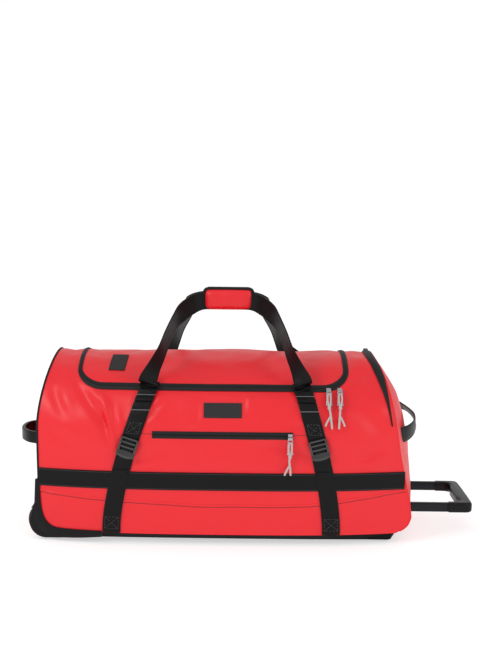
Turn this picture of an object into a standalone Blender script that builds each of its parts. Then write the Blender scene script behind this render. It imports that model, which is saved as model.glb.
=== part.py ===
"""Rolling duffel bag with a trolley: the working model.

Metres, +Z up, floor at z = 0.  The bag's length runs along X (wheels at -X, trolley at +X), and
its front faces -Y.  Everything hangs on one empty, so that the whole bag stands centred.
"""
import math

import bmesh
import bpy
from mathutils import Matrix, Vector

# ---- driving dimensions ----
CENTRE_SHIFT = -0.0525            # moves the bag so that its overall box is centred on X
CREST_Z = 0.388                   # top of the filled body
SKIRT_Z = 0.0245                  # lower edge of the fabric panels
BELLY_Z = 0.220                   # height at which the side turns into the shoulder
END_HALF_DEPTH = 0.155            # half depth of the body at its two ends
BELLY_BULGE = 0.030               # how much further the front stands out in the middle
BASE_TUCK = 0.012                 # how much the side tucks in at the tray
SHOULDER_POWER = 2.2              # squareness of the shoulder
HALF_LENGTH = 0.380
PANEL = 0.004                     # thickness of a padded fabric panel
GAP = 0.0006                      # clearance between touching sewn pieces
WEBBING = 0.038                   # width of the wide webbing
WEB_THICK = 0.0018

LID_LEFT, LID_RIGHT = -0.296, 0.260   # the two legs of the lid zip
LID_FRONT_Z = 0.332                   # height of the zip's front run
HINGE_Z = 0.361                       # height of the lid's hinge line, on the rear shoulder
LID_CORNER = 0.050                    # radius of the zip's corners
ZIP_MARGIN = 0.009                    # zip centre line to the edge of a panel

POCKET_Z = 0.240
POCKET_LEFT, POCKET_RIGHT = -0.140, 0.149
STRAP_TOP_Z, STRAP_END_Z = 0.300, 0.291   # where the slant is given, where the webbing stops
STRAPS = {"left": (-0.227, -0.160), "right": (0.233, 0.178)}   # centre at the base, at the top
HANDLE_MID = 0.009                    # the handles are symmetric about this x

WHEEL_X, WHEEL_Y, WHEEL_R, WHEEL_W = -0.3685, 0.119, 0.040, 0.024
HOUSING_TOP = 0.090                # top of the moulding behind the fabric
TUBE_Y, TUBE_Z = 0.090, 0.068
TUBE_TALL, TUBE_WIDE, TUBE_WALL = 0.020, 0.012, 0.0015
GUIDE_START, GUIDE_END = -0.280, 0.372
TUBE_START, GRIP_START, GRIP_END = 0.030, 0.4895, 0.544
PIN_X = 0.045
SOCKET_END = 0.5195
TRAVEL_IN, TRAVEL_OUT = 0.060, 0.270

SIDES = {"near": -1, "far": 1}

RED, BLACK_WEB, BLACK_PLASTIC = (0.80, 0.052, 0.060), (0.017, 0.016, 0.016), (0.028, 0.028, 0.029)
COLOURS = {
    "red_tarpaulin": (RED, 0.35, 0.0),
    "black_webbing": (BLACK_WEB, 0.75, 0.0),
    "zip_tape": ((0.030, 0.030, 0.030), 0.8, 0.0),
    "black_plastic": (BLACK_PLASTIC, 0.40, 0.0),
    "rubber": ((0.016, 0.016, 0.015), 0.70, 0.0),
    "black_aluminium": ((0.022, 0.022, 0.024), 0.35, 0.8),
    "nickel": ((0.60, 0.60, 0.60), 0.25, 1.0),
    "steel": ((0.45, 0.45, 0.46), 0.30, 1.0),
    "pale_cord": ((0.62, 0.60, 0.58), 0.85, 0.0),
    "board": ((0.05, 0.05, 0.05), 0.8, 0.0),
}


# ---- scene and helpers ----
def clear_scene():
    for thing in list(bpy.data.objects):
        bpy.data.objects.remove(thing, do_unlink=True)


def make_collection(name):
    collection = bpy.data.collections.new(name)
    bpy.context.scene.collection.children.link(collection)
    return collection


def make_material(node, finish):
    colour, roughness, metallic = COLOURS[finish]
    material = bpy.data.materials.new(f"{node}_{finish}")
    material.use_nodes = True
    shader = material.node_tree.nodes["Principled BSDF"]
    shader.inputs["Base Color"].default_value = (*colour, 1.0)
    shader.inputs["Roughness"].default_value = roughness
    shader.inputs["Metallic"].default_value = metallic
    return material


clear_scene()
PARTS = make_collection("rolling_duffel_bag")
CUTTERS = make_collection("cutters")
ORIGIN = bpy.data.objects.new("bag_origin", None)
PARTS.objects.link(ORIGIN)
ORIGIN.location = (CENTRE_SHIFT, 0.0, 0.0)


def add_object(name, bm, finish, origin=(0, 0, 0), smooth=True):
    """Make a part from bmesh geometry given in bag coordinates, with its origin on a joint axis."""
    bmesh.ops.translate(bm, verts=bm.verts, vec=-Vector(origin))
    mesh = bpy.data.meshes.new(name)
    bm.to_mesh(mesh)
    bm.free()
    if smooth:
        mesh.shade_smooth()
        mesh.set_sharp_from_angle(angle=math.radians(35))
    thing = bpy.data.objects.new(name, mesh)
    mesh.materials.append(make_material(name, finish))
    PARTS.objects.link(thing)
    thing.parent = ORIGIN
    thing.location = origin
    return thing


def solidify(thing, thickness, offset=-1.0):
    modifier = thing.modifiers.new("wall", "SOLIDIFY")
    modifier.thickness = thickness
    modifier.offset = offset
    modifier.use_even_offset = True
    return thing


def bevel(thing, width, segments=2, angle=40):
    modifier = thing.modifiers.new("rounding", "BEVEL")
    modifier.width = width
    modifier.segments = segments
    modifier.limit_method = "ANGLE"
    modifier.angle_limit = math.radians(angle)
    return thing


def cut(thing, cutter_bm, name):
    """Take the cutter's shape, given in bag coordinates, out of the part."""
    mesh = bpy.data.meshes.new(name)
    cutter_bm.to_mesh(mesh)
    cutter_bm.free()
    cutter = bpy.data.objects.new(name, mesh)
    CUTTERS.objects.link(cutter)
    cutter.parent = ORIGIN
    cutter.hide_render = True
    cutter.display_type = "WIRE"
    modifier = thing.modifiers.new(name, "BOOLEAN")
    modifier.object = cutter
    modifier.solver = "EXACT"
    return thing


def box(bm, low, high):
    """Add a box between two corners to a bmesh."""
    size = Vector(high) - Vector(low)
    place = Matrix.Translation((Vector(high) + Vector(low)) / 2) @ Matrix.Diagonal((*size, 1.0))
    return bmesh.ops.create_cube(bm, size=1.0, matrix=place)["verts"]


def cylinder(bm, start, end, radius, segments=24):
    """Add a closed cylinder from one point to another."""
    start, end = Vector(start), Vector(end)
    turn = (end - start).to_track_quat("Z", "Y").to_matrix().to_4x4()
    place = Matrix.Translation((start + end) / 2) @ turn
    bmesh.ops.create_cone(bm, cap_ends=True, segments=segments, radius1=radius, radius2=radius,
                          depth=(end - start).length, matrix=place)


def box_part(name, low, high, finish, origin=(0, 0, 0), rounding=0.0):
    bm = bmesh.new()
    box(bm, low, high)
    thing = add_object(name, bm, finish, origin)
    return bevel(thing, rounding) if rounding else thing


# ---- the body's outer surface ----
def half_depth(x):
    return END_HALF_DEPTH + BELLY_BULGE * (1.0 - min(abs(x) / HALF_LENGTH, 1.0) ** 3)


def section(x, turn):
    """Point of the half section at x: turn 0 is the crest, 1 the belly, 2 the lower edge."""
    depth = half_depth(x)
    if turn <= 1.0:
        angle = math.radians(90.0 * (1.0 - turn))
        rise = math.sin(angle) ** (2.0 / SHOULDER_POWER)
        return depth * math.cos(angle) ** (2.0 / SHOULDER_POWER), BELLY_Z + (CREST_Z - BELLY_Z) * rise
    drop = turn - 1.0
    return depth - BASE_TUCK * drop ** 2, BELLY_Z - (BELLY_Z - SKIRT_Z) * drop


def measure_girth(steps=400):
    """Arc length from the crest at each turn, along the section midway along the bag's half."""
    table = [(0.0, 0.0)]
    last = Vector(section(HALF_LENGTH / 2, 0.0))
    for i in range(1, steps + 1):
        turn = 2.0 * i / steps
        here = Vector(section(HALF_LENGTH / 2, turn))
        table.append((table[-1][0] + (here - last).length, turn))
        last = here
    return table


GIRTH = measure_girth()
HALF_GIRTH = GIRTH[-1][0]


def turn_at(length):
    length = min(max(length, 0.0), HALF_GIRTH)
    for (l0, t0), (l1, t1) in zip(GIRTH, GIRTH[1:]):
        if length <= l1:
            return t0 + (t1 - t0) * (length - l0) / (l1 - l0)
    return 2.0


def girth_at_height(z):
    """Arc length from the crest down to a height."""
    for (l0, t0), (l1, t1) in zip(GIRTH, GIRTH[1:]):
        z0, z1 = section(HALF_LENGTH / 2, t0)[1], section(HALF_LENGTH / 2, t1)[1]
        if z1 <= z <= z0:
            return l0 + (l1 - l0) * (z0 - z) / (z0 - z1)
    raise ValueError(f"no such height on the body: {z}")


def on_skin(x, girth):
    """Point of the outer surface: girth is negative on the front and positive on the rear."""
    y, z = section(x, turn_at(abs(girth)))
    return Vector((x, math.copysign(y, girth), z))


def above_skin(x, girth, lift):
    step = 0.002
    girth_in = max(min(girth, HALF_GIRTH - step), step - HALF_GIRTH)
    along_x = on_skin(x + step, girth_in) - on_skin(x - step, girth_in)
    along_girth = on_skin(x, girth_in + step) - on_skin(x, girth_in - step)
    return on_skin(x, girth) + along_x.cross(along_girth).normalized() * lift


def left_edge(z):
    """Where the body meets the wheel-end panel; rounded at the bottom, leaning in at the top."""
    lean = 0.027 * max(0.0, (z - 0.25) / (CREST_Z - 0.25)) ** 1.5
    corner = 0.032 * max(0.0, (0.085 - z) / (0.085 - SKIRT_Z)) ** 2.5
    return -HALF_LENGTH + lean + corner


def right_edge(z):
    """Where the body meets the top-end panel."""
    slope = 0.033 * min(1.0, (z - SKIRT_Z) / 0.25)
    lean = 0.041 * max(0.0, (z - 0.275) / (CREST_Z - 0.275)) ** 1.6
    corner = 0.022 * max(0.0, (0.065 - z) / (0.065 - SKIRT_Z)) ** 2.5
    return 0.386 - slope - lean - corner


def spread(start, end, count):
    return [start + (end - start) * i / count for i in range(count + 1)]


def skin_sheet(name, rows, x_low, x_high, columns, finish, lift=0.0, thickness=PANEL, origin=(0, 0, 0)):
    """A sewn piece on the body: rows of constant girth between two edges, each a function of girth."""
    bm = bmesh.new()
    bmesh.ops.create_grid(bm, x_segments=columns, y_segments=len(rows) - 1, size=0.5)
    for vert in bm.verts:
        across = vert.co.x + 0.5
        girth = rows[round((vert.co.y + 0.5) * (len(rows) - 1))]
        low, high = x_low(girth), x_high(girth)
        vert.co = above_skin(low + (high - low) * across, girth, lift)
    return solidify(add_object(name, bm, finish, origin), thickness)


# ---- girth stations ----
FRONT_RUN = -girth_at_height(LID_FRONT_Z)
HINGE = girth_at_height(HINGE_Z)
CORNER_STEPS = 5
HINGE_POINT = Vector((0.0, *tuple(on_skin(0.0, HINGE))[1:]))


def skin_z(girth):
    return on_skin(0.0, girth)[2]


def body_left(girth):
    return left_edge(skin_z(girth))


def body_right(girth):
    return right_edge(skin_z(girth))


def corner_rows(radius):
    """Girths at even angles round a corner of the lid zip, from the leg to the front run."""
    angles = [math.radians(90.0 * i / CORNER_STEPS) for i in range(1, CORNER_STEPS + 1)]
    return [FRONT_RUN + LID_CORNER - radius * math.sin(a) for a in angles]


def corner_inset(girth, radius):
    """How far a rounded edge has moved along X at this girth."""
    drop = min(max(FRONT_RUN + LID_CORNER - girth, 0.0), radius)
    return radius - math.sqrt(max(radius * radius - drop * drop, 0.0))


def build_panels():
    inner, outer = LID_CORNER - ZIP_MARGIN, LID_CORNER + ZIP_MARGIN
    lid_rows = spread(HINGE, FRONT_RUN + LID_CORNER, 10) + corner_rows(inner)
    top_rows = spread(HINGE, FRONT_RUN + LID_CORNER, 10) + corner_rows(outer)
    skin_sheet("lid_panel", lid_rows[::-1],
               lambda g: LID_LEFT + ZIP_MARGIN + corner_inset(g, inner),
               lambda g: LID_RIGHT - ZIP_MARGIN - corner_inset(g, inner),
               14, "red_tarpaulin", origin=HINGE_POINT)
    skin_sheet("top_panel_left", top_rows[::-1], body_left,
               lambda g: LID_LEFT - ZIP_MARGIN + corner_inset(g, outer), 3, "red_tarpaulin")
    skin_sheet("top_panel_right", top_rows[::-1],
               lambda g: LID_RIGHT + ZIP_MARGIN - corner_inset(g, outer), body_right, 3, "red_tarpaulin")
    seam = 0.0015
    front_rows = spread(-HALF_GIRTH, FRONT_RUN - ZIP_MARGIN - seam, 14)
    skin_sheet("front_panel", front_rows, body_left, body_right, 16, "red_tarpaulin")
    skin_sheet("rear_panel", spread(HINGE + seam, HALF_GIRTH, 15), body_left, body_right, 16,
               "red_tarpaulin")


def build_end_panel(name, edge, centre, power, bottom_bulge, side):
    """A bulging end: a disc of rings whose rim lies just inside the body panels."""
    rim_count, bottom_count, rings = 30, 8, 6
    inset = -(PANEL + GAP)
    rim = []
    for girth in spread(-HALF_GIRTH, HALF_GIRTH, rim_count):
        x = edge(skin_z(girth))
        rim.append(above_skin(x, girth, inset) - Vector((side * GAP, 0, 0)))
    start, end = rim[-1], rim[0]
    for i in range(1, bottom_count):
        share = i / bottom_count
        arch = 4.0 * share * (1.0 - share)
        rim.append(start.lerp(end, share) + Vector((side * bottom_bulge * arch, 0, 0)))
    bm = bmesh.new()
    spoke = [bm.verts.new((ring / rings, 0, 0)) for ring in range(1, rings + 1)]
    edges = [bm.edges.new(pair) for pair in zip(spoke, spoke[1:])]
    bmesh.ops.spin(bm, geom=spoke + edges, cent=(0, 0, 0), axis=(0, 0, 1), steps=len(rim),
                   angle=math.tau, use_merge=True)
    bmesh.ops.remove_doubles(bm, verts=bm.verts, dist=1e-5)
    hub = [v for v in bm.verts if v.co.length < 1.5 / rings]
    hub_edges = {e for v in hub for e in v.link_edges if all(u in hub for u in e.verts)}
    bmesh.ops.contextual_create(bm, geom=list(hub_edges))
    bmesh.ops.poke(bm, faces=[f for f in bm.faces if len(f.verts) > 4])
    middle = Vector(centre)
    for vert in bm.verts:
        reach = vert.co.length
        index = round(math.atan2(vert.co.y, vert.co.x) / math.tau * len(rim)) % len(rim)
        spot = rim[index]
        fall = reach ** power
        vert.co = Vector((middle.x + (spot.x - middle.x) * fall, middle.y + (spot.y - middle.y) * reach,
                          middle.z + (spot.z - middle.z) * reach))
    bmesh.ops.recalc_face_normals(bm, faces=bm.faces)
    facing = sum(f.normal.x * f.calc_area() for f in bm.faces)
    if facing * side < 0:
        bmesh.ops.reverse_faces(bm, faces=bm.faces)
    return solidify(add_object(name, bm, "red_tarpaulin"), PANEL)


def build_ends():
    wheel_end = build_end_panel("wheel_end_panel", left_edge, (-0.384, 0, 0.17), 3.0, 0.0, -1)
    notches = bmesh.new()
    for side in SIDES.values():
        low, high = sorted((side * 0.0975, side * 0.20))
        box(notches, (-0.45, low, 0.0), (-0.30, high, HOUSING_TOP + 0.002))
    cut(wheel_end, notches, "housing_notches")
    top_end = build_end_panel("top_end_panel", right_edge, (0.4115, 0, 0.13), 2.5, 0.026, 1)
    openings = bmesh.new()
    for side in SIDES.values():
        y = side * TUBE_Y
        box(openings, (0.36, y - 0.0105, TUBE_Z - 0.0145), (0.44, y + 0.0105, TUBE_Z + 0.0145))
    cut(top_end, openings, "tube_openings")


# ---- zips ----
def zip_path():
    """Centre line of the lid zip in (x, girth), with the direction away from the lid at each point."""
    points = [(Vector((LID_LEFT, g)), Vector((-1, 0)))
              for g in spread(HINGE, FRONT_RUN + LID_CORNER, 10)[:-1]]
    for turn, mid_x in ((180, LID_LEFT + LID_CORNER), (270, LID_RIGHT - LID_CORNER)):
        for i in range(CORNER_STEPS + 1):
            angle = math.radians(turn + 90.0 * i / CORNER_STEPS)
            away = Vector((math.cos(angle), math.sin(angle)))
            points.append((Vector((mid_x, FRONT_RUN + LID_CORNER)) + away * LID_CORNER, away))
        if turn == 180:
            run = spread(LID_LEFT + LID_CORNER, LID_RIGHT - LID_CORNER, 10)[1:-1]
            points += [(Vector((x, FRONT_RUN)), Vector((0, -1))) for x in run]
    points += [(Vector((LID_RIGHT, g)), Vector((1, 0)))
               for g in spread(FRONT_RUN + LID_CORNER, HINGE, 10)[1:]]
    return points


def build_lid_tape(name, near, far, origin):
    """One half of the zip tape: a strip between two distances from the zip's centre line."""
    path = zip_path()
    bm = bmesh.new()
    bmesh.ops.create_grid(bm, x_segments=len(path) - 1, y_segments=1, size=0.5)
    for vert in bm.verts:
        place, away = path[round((vert.co.x + 0.5) * (len(path) - 1))]
        spot = place + away * (near if vert.co.y < 0 else far)
        vert.co = above_skin(spot.x, spot.y, 0.0)
    if sum((f.normal_update() or f.normal.z) for f in bm.faces) < 0:
        bmesh.ops.reverse_faces(bm, faces=bm.faces)
    return solidify(add_object(name, bm, "zip_tape", origin), 0.002)


def build_zips():
    edge = ZIP_MARGIN - GAP
    build_lid_tape("lid_zip_tape", -edge, -GAP / 2, HINGE_POINT)
    build_lid_tape("body_zip_tape", GAP / 2, edge, (0, 0, 0))
    pocket = -girth_at_height(POCKET_Z)
    skin_sheet("pocket_zip_tape", spread(pocket - 0.0075, pocket + 0.0075, 2),
               lambda g: POCKET_LEFT, lambda g: POCKET_RIGHT, 12, "zip_tape", GAP + 0.0016, 0.0016)
    reach = girth_at_height(0.262)
    skin_sheet("end_zip_tape", spread(-reach, reach, 24), lambda g: body_right(g) - 0.016,
               lambda g: body_right(g) - 0.004, 1, "zip_tape", GAP + 0.0016, 0.0016)


def build_slider(name, place, angle):
    """A zip slider: a small body with rounded edges and a bridge that holds the puller."""
    bm = bmesh.new()
    box(bm, (-0.0045, -0.0035, -0.0055), (0.0045, 0.0, 0.0055))
    box(bm, (-0.0015, -0.0052, -0.0040), (0.0015, -0.0030, 0.0040))
    thing = add_object(name, join_boxes(bm), "nickel")
    thing.location = place
    thing.rotation_euler = angle
    return thing


def join_boxes(bm):
    """Unite overlapping closed shapes of one bmesh into one body by a Boolean on a helper."""
    pieces = split_loose(bm)
    base = helper_object(pieces[0])
    for piece in pieces[1:]:
        other = helper_object(piece)
        modifier = base.modifiers.new("join", "BOOLEAN")
        modifier.operation = "UNION"
        modifier.object = other
    bpy.context.view_layer.update()
    graph = bpy.context.evaluated_depsgraph_get()
    mesh = bpy.data.meshes.new_from_object(base.evaluated_get(graph))
    joined = bmesh.new()
    joined.from_mesh(mesh)
    for helper in [base] + [m.object for m in base.modifiers]:
        bpy.data.objects.remove(helper, do_unlink=True)
    return joined


def split_loose(bm):
    """Break a bmesh into one bmesh for each connected shape."""
    left = set(bm.verts)
    groups = []
    while left:
        stack = [left.pop()]
        group = set(stack)
        while stack:
            for edge in stack.pop().link_edges:
                for vert in edge.verts:
                    if vert in left:
                        left.remove(vert)
                        group.add(vert)
                        stack.append(vert)
        groups.append(group)
    out = []
    for group in groups:
        piece = bmesh.new()
        copies = {v: piece.verts.new(v.co) for v in group}
        for face in {f for v in group for f in v.link_faces}:
            piece.faces.new([copies[v] for v in face.verts])
        out.append(piece)
    bm.free()
    return out


def helper_object(bm):
    mesh = bpy.data.meshes.new("helper")
    bm.to_mesh(mesh)
    bm.free()
    thing = bpy.data.objects.new("helper", mesh)
    CUTTERS.objects.link(thing)
    return thing


def paddle(length, top, bottom, thickness):
    """Outline of a zip puller, hanging from its own origin down -Z."""
    bm = bmesh.new()
    verts = box(bm, (-0.5, -thickness / 2, -length), (0.5, thickness / 2, PULLER_STUB))
    for vert in verts:
        vert.co.x *= bottom if vert.co.z < -length / 2 else top
    return bm


PULLER_SLOPE = math.radians(34)      # lean of the shoulder where the main pullers lie
PULLER_LENGTH = 0.036
PULLER_STUB = 0.0010                 # metal above the pivot, short so that it clears the slider


def build_puller(name, place, angle, length, finish="nickel"):
    thing = add_object(name, paddle(length, 0.010, 0.015, 0.0016), finish)
    thing.location = place
    thing.rotation_euler = (angle, 0, 0)
    bevel(thing, 0.0005, 1)
    hole = bmesh.new()
    cylinder(hole, (0, -0.004, -0.0035), (0, 0.004, -0.0035), 0.0026, 12)
    box(hole, (-0.0045, -0.004, -length + 0.0025), (0.0045, 0.004, -length + 0.0055))
    mesh = bpy.data.meshes.new(name + "_holes")
    hole.to_mesh(mesh)
    hole.free()
    cutter = bpy.data.objects.new(name + "_holes", mesh)
    CUTTERS.objects.link(cutter)
    cutter.parent = ORIGIN
    cutter.location = place
    cutter.rotation_euler = (angle, 0, 0)
    cutter.hide_render = True
    cutter.display_type = "WIRE"
    modifier = thing.modifiers.new("holes", "BOOLEAN")
    modifier.object = cutter
    return thing


def smooth_route(points, steps):
    """Points of a smooth curve through the given ones (Catmull-Rom), steps to each stretch."""
    points = [Vector(p) for p in points]
    padded = [points[0] * 2 - points[1]] + points + [points[-1] * 2 - points[-2]]
    route = []
    for a, b, c, d in zip(padded, padded[1:], padded[2:], padded[3:]):
        for i in range(steps):
            t = i / steps
            route.append(0.5 * (2 * b + (c - a) * t + (2 * a - 5 * b + 4 * c - d) * t * t
                                + (3 * b - a - 3 * c + d) * t ** 3))
    return route + [points[-1]]


def tube_part(name, route, radius, finish, resolution=2, origin=(0, 0, 0)):
    """A round bar along a smooth route, from a filled curve turned into a mesh."""
    curve = bpy.data.curves.new(name, "CURVE")
    curve.dimensions = "3D"
    curve.bevel_depth = radius
    curve.bevel_resolution = resolution
    curve.use_fill_caps = True
    spline = curve.splines.new("POLY")
    spline.points.add(len(route) - 1)
    for point, place in zip(spline.points, route):
        point.co = (*place, 1.0)
    guide = bpy.data.objects.new("curve_" + name, curve)
    CUTTERS.objects.link(guide)
    bpy.context.view_layer.update()
    graph = bpy.context.evaluated_depsgraph_get()
    mesh = bpy.data.meshes.new_from_object(guide.evaluated_get(graph))
    bm = bmesh.new()
    bm.from_mesh(mesh)
    bmesh.ops.remove_doubles(bm, verts=bm.verts, dist=1e-6)
    bpy.data.objects.remove(guide, do_unlink=True)
    return add_object(name, bm, finish, origin)


# where the sliders sit: x, height, lift of their back over the skin
MAIN_SLIDERS = {"left": 0.2215, "right": 0.2445}
SLIDER_DROP = 0.0060                 # below the zip's centre line, on the body's half of the tape


def build_sliders():
    for side, x in MAIN_SLIDERS.items():
        girth = FRONT_RUN - SLIDER_DROP
        place = above_skin(x, girth, 0.0008)
        build_slider(f"main_slider_{side}", place, (-math.radians(38), 0, 0))
        pivot = above_skin(x, girth - 0.001, 0.0082)
        build_puller(f"main_puller_{side}", pivot, -PULLER_SLOPE, PULLER_LENGTH)
        down = Matrix.Rotation(-PULLER_SLOPE, 3, "X") @ Vector((0, 0, -1))
        out = Matrix.Rotation(-PULLER_SLOPE, 3, "X") @ Vector((0, -1, 0))
        knot = pivot + down * (PULLER_LENGTH + 0.0034)
        sway = 0.002 if side == "left" else -0.001
        route = smooth_route([knot, knot + down * 0.012 + Vector((sway, 0, 0)) + out * 0.001,
                              knot + Vector((sway * 2, -0.012, -0.024)),
                              knot + Vector((sway * 3, -0.015, -0.042))], 4)
        tube_part(f"main_pull_cord_{side}", route, 0.0027, "pale_cord", origin=pivot)
    pocket = -girth_at_height(POCKET_Z)
    x = POCKET_RIGHT - 0.006
    place = on_skin(x, pocket) + Vector((0, -0.0042, 0))
    build_slider("pocket_slider", place, (0, 0, 0))
    pivot = place + Vector((0, -0.0070, -0.001))
    build_puller("pocket_puller", pivot, 0.0, PULLER_LENGTH)
    knot = pivot + Vector((0, 0, -PULLER_LENGTH - 0.0034))
    route = smooth_route([knot, knot + Vector((-0.001, 0, -0.012)), knot + Vector((0.001, 0, -0.026)),
                          knot + Vector((0.002, 0, -0.040))], 4)
    tube_part("pocket_pull_cord", route, 0.0027, "pale_cord", origin=pivot)
    x = body_right(0.0) - 0.010
    place = on_skin(x, 0.030) + Vector((0, 0, 0.0040))
    build_slider("end_slider", place, (-math.radians(90), 0, math.radians(90)))


# ---- webbing ----
def strap_centre(side, z):
    base, top = STRAPS[side]
    return base + (top - base) * max(0.0, (z - 0.034) / (STRAP_TOP_Z - 0.034)) ** 1.5


def build_webbing():
    for face, sign in (("front", -1), ("rear", 1)):
        middle = sign * girth_at_height(0.1420)
        rows = spread(middle - WEBBING / 2, middle + WEBBING / 2, 3)
        skin_sheet(f"side_band_{face}", rows, lambda g: body_left(g) + 0.002,
                   lambda g: body_right(g) - 0.002, 16, "black_webbing", GAP + 0.0012, 0.0012)
        for side in STRAPS:
            low, high = girth_at_height(STRAP_END_Z), HALF_GIRTH - 0.002
            rows = spread(sign * low, sign * high, 12)
            rows.sort()
            skin_sheet(f"{face}_strap_{side}", rows,
                       lambda g, s=side: strap_centre(s, skin_z(g)) - WEBBING / 2,
                       lambda g, s=side: strap_centre(s, skin_z(g)) + WEBBING / 2,
                       2, "black_webbing", 0.0024 + WEB_THICK, WEB_THICK)


def build_buckles():
    for side in STRAPS:
        z = 0.208
        girth = -girth_at_height(z)
        x = strap_centre(side, z)
        face = above_skin(x, girth, 0.0056)
        bm = bmesh.new()
        box(bm, (-0.0155, -0.0045, -0.0130), (0.0155, 0.0, 0.0130))
        frame = join_boxes(bm)
        buckle = add_object(f"buckle_{side}", frame, "black_plastic")
        buckle.location = face
        tilt = math.atan2(STRAPS[side][1] - STRAPS[side][0], 0.26) * 1.2
        step = 0.01
        turn = math.atan2(half_depth(x - step) - half_depth(x + step), 2 * step)
        buckle.rotation_euler = (0, tilt, turn)
        bevel(buckle, 0.0012, 2)


def ribbon(name, route, width, thickness, finish, origin, face):
    """Webbing along a route: its width lies square to the route and to the given facing direction."""
    bm = bmesh.new()
    bmesh.ops.create_grid(bm, x_segments=len(route) - 1, y_segments=2, size=0.5)
    for vert in bm.verts:
        index = round((vert.co.x + 0.5) * (len(route) - 1))
        ahead = route[min(index + 1, len(route) - 1)] - route[max(index - 1, 0)]
        across = ahead.cross(Vector(face)).normalized()
        vert.co = route[index] + across * (vert.co.y * width)
    return solidify(add_object(name, bm, finish, origin), thickness, 0.0)


def handle_route(sign):
    """Carry handle from its left root to its right root; sign -1 is the front handle."""
    root = above_skin(STRAPS["left"][1], -girth_at_height(0.3065), 0.0058)
    left = [root, (-0.151, -0.1605, 0.338), (-0.134, -0.143, 0.395), (-0.114, -0.100, 0.441),
            (-0.090, -0.046, 0.478), (-0.056, -0.0125, 0.5015)]
    left = [Vector(p) for p in left]
    right = [Vector((2 * HANDLE_MID - p.x, p.y, p.z)) for p in reversed(left)]
    points = left + [Vector((HANDLE_MID, -0.0085, 0.5045))] + right
    return [Vector((p.x, -sign * p.y, p.z)) for p in smooth_route(points, 3)]


HANDLE_DROP, HANDLE_OUT = 0.0060, 0.0025   # from the ends of the centre line to the fall axis


def build_handles():
    for face, sign in (("front", -1), ("rear", 1)):
        route = handle_route(sign)
        axis = (0, route[0].y + sign * HANDLE_OUT, route[0].z - HANDLE_DROP)
        ribbon(f"{face}_handle", route, WEBBING, 0.003, "black_webbing", axis, (0, -1, 0))
        bm = bmesh.new()
        profile = [(0.0008, 0.4790), (0.0140, 0.4790), (0.0170, 0.4825), (0.0170, 0.5255),
                   (0.0140, 0.5290), (0.0008, 0.5290)]
        verts = [bm.verts.new((HANDLE_MID - 0.0555, sign * y, z)) for y, z in profile]
        edges = [bm.edges.new(pair) for pair in zip(verts, verts[1:])]
        made = bmesh.ops.extrude_edge_only(bm, edges=edges)["geom"]
        moved = [v for v in made if isinstance(v, bmesh.types.BMVert)]
        bmesh.ops.translate(bm, verts=moved, vec=(0.111, 0, 0))
        bmesh.ops.recalc_face_normals(bm, faces=bm.faces)
        wall = max(bm.faces, key=lambda f: f.calc_area())
        if wall.normal.y * sign < 0:
            bmesh.ops.reverse_faces(bm, faces=bm.faces)
        name = "grip_wrap" if face == "front" else "grip_wrap_rear"
        solidify(add_object(name, bm, "red_tarpaulin", axis, smooth=False), 0.0022)


def build_end_handles():
    route = smooth_route([(-0.3885, -0.078, 0.205), (-0.3930, -0.066, 0.205), (-0.4200, -0.052, 0.206),
                          (-0.4330, -0.025, 0.207), (-0.4350, 0, 0.207), (-0.4330, 0.025, 0.207),
                          (-0.4200, 0.052, 0.206), (-0.3930, 0.066, 0.205), (-0.3885, 0.078, 0.205)], 2)
    ribbon("wheel_end_handle", route, 0.026, 0.0070, "black_plastic", (0, 0, 0), (1, 0, 0))
    route = smooth_route([(0.3868, -0.121, 0.229), (0.3980, -0.104, 0.231), (0.4170, -0.062, 0.239),
                          (0.4240, -0.012, 0.245), (0.4190, 0.040, 0.251), (0.4035, 0.079, 0.255),
                          (0.3905, 0.097, 0.257)], 3)
    ribbon("top_end_handle", route, 0.030, 0.0028, "black_webbing", (0, 0, 0), (1, 0, 0))


# ---- base and wheels ----
def tray_outline():
    """Plan of the tray's near half: it follows the panels' lower edges, clear of the wheel housings."""
    edge = [(x, half_depth(x) - BASE_TUCK - 0.001) for x in spread(-0.274, 0.364, 8)]
    return [(-0.374, 0.0950), (-0.3150, 0.0950), (-0.3150, 0.1310), (-0.274, 0.1310)] + edge


def build_base():
    tray = bmesh.new()
    outline = [(x, -y) for x, y in tray_outline()]
    outline += [(0.3800, -0.080), (0.3800, 0.080)] + [(x, -y) for x, y in reversed(outline)]
    face = tray.faces.new([tray.verts.new((x, y, 0.006)) for x, y in outline])
    made = bmesh.ops.extrude_face_region(tray, geom=[face])["geom"]
    bmesh.ops.translate(tray, verts=[v for v in made if isinstance(v, bmesh.types.BMVert)],
                        vec=(0, 0, 0.0175))
    for vert in tray.verts:
        if vert.co.z < 0.010 and abs(vert.co.y) > 0.120:
            vert.co.y = math.copysign(0.120 + (abs(vert.co.y) - 0.120) * 0.35, vert.co.y)
    bmesh.ops.recalc_face_normals(tray, faces=tray.faces)
    for side in SIDES.values():
        box(tray, (-0.300, side * 0.105 - 0.009, 0.0), (0.362, side * 0.105 + 0.009, 0.010))
    bevel(add_object("base_tray", join_boxes(tray), "black_plastic"), 0.002, 2)
    box_part("floor_board", (-0.270, -0.118, 0.0830), (0.362, 0.118, 0.0860), "board")


def housing_outline():
    """Side view of a wheel housing: it wraps the rounded lower corner of the bag."""
    outer = [(-0.3955, 0.130), (-0.3955, 0.070)]
    for i in range(6):
        angle = math.radians(180 + 90 * i / 5)
        outer.append((-0.3355 + 0.060 * math.cos(angle), 0.066 + 0.060 * math.sin(angle)))
    inner = [(-0.280, 0.006), (-0.280, 0.0215), (-0.3320, 0.0215)]
    for i in range(6):
        angle = math.radians(270 - 90 * i / 5)
        inner.append((-0.3330 + 0.0520 * math.cos(angle), 0.0745 + 0.053 * math.sin(angle)))
    return outer + inner + [(-0.3862, 0.130)]


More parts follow.
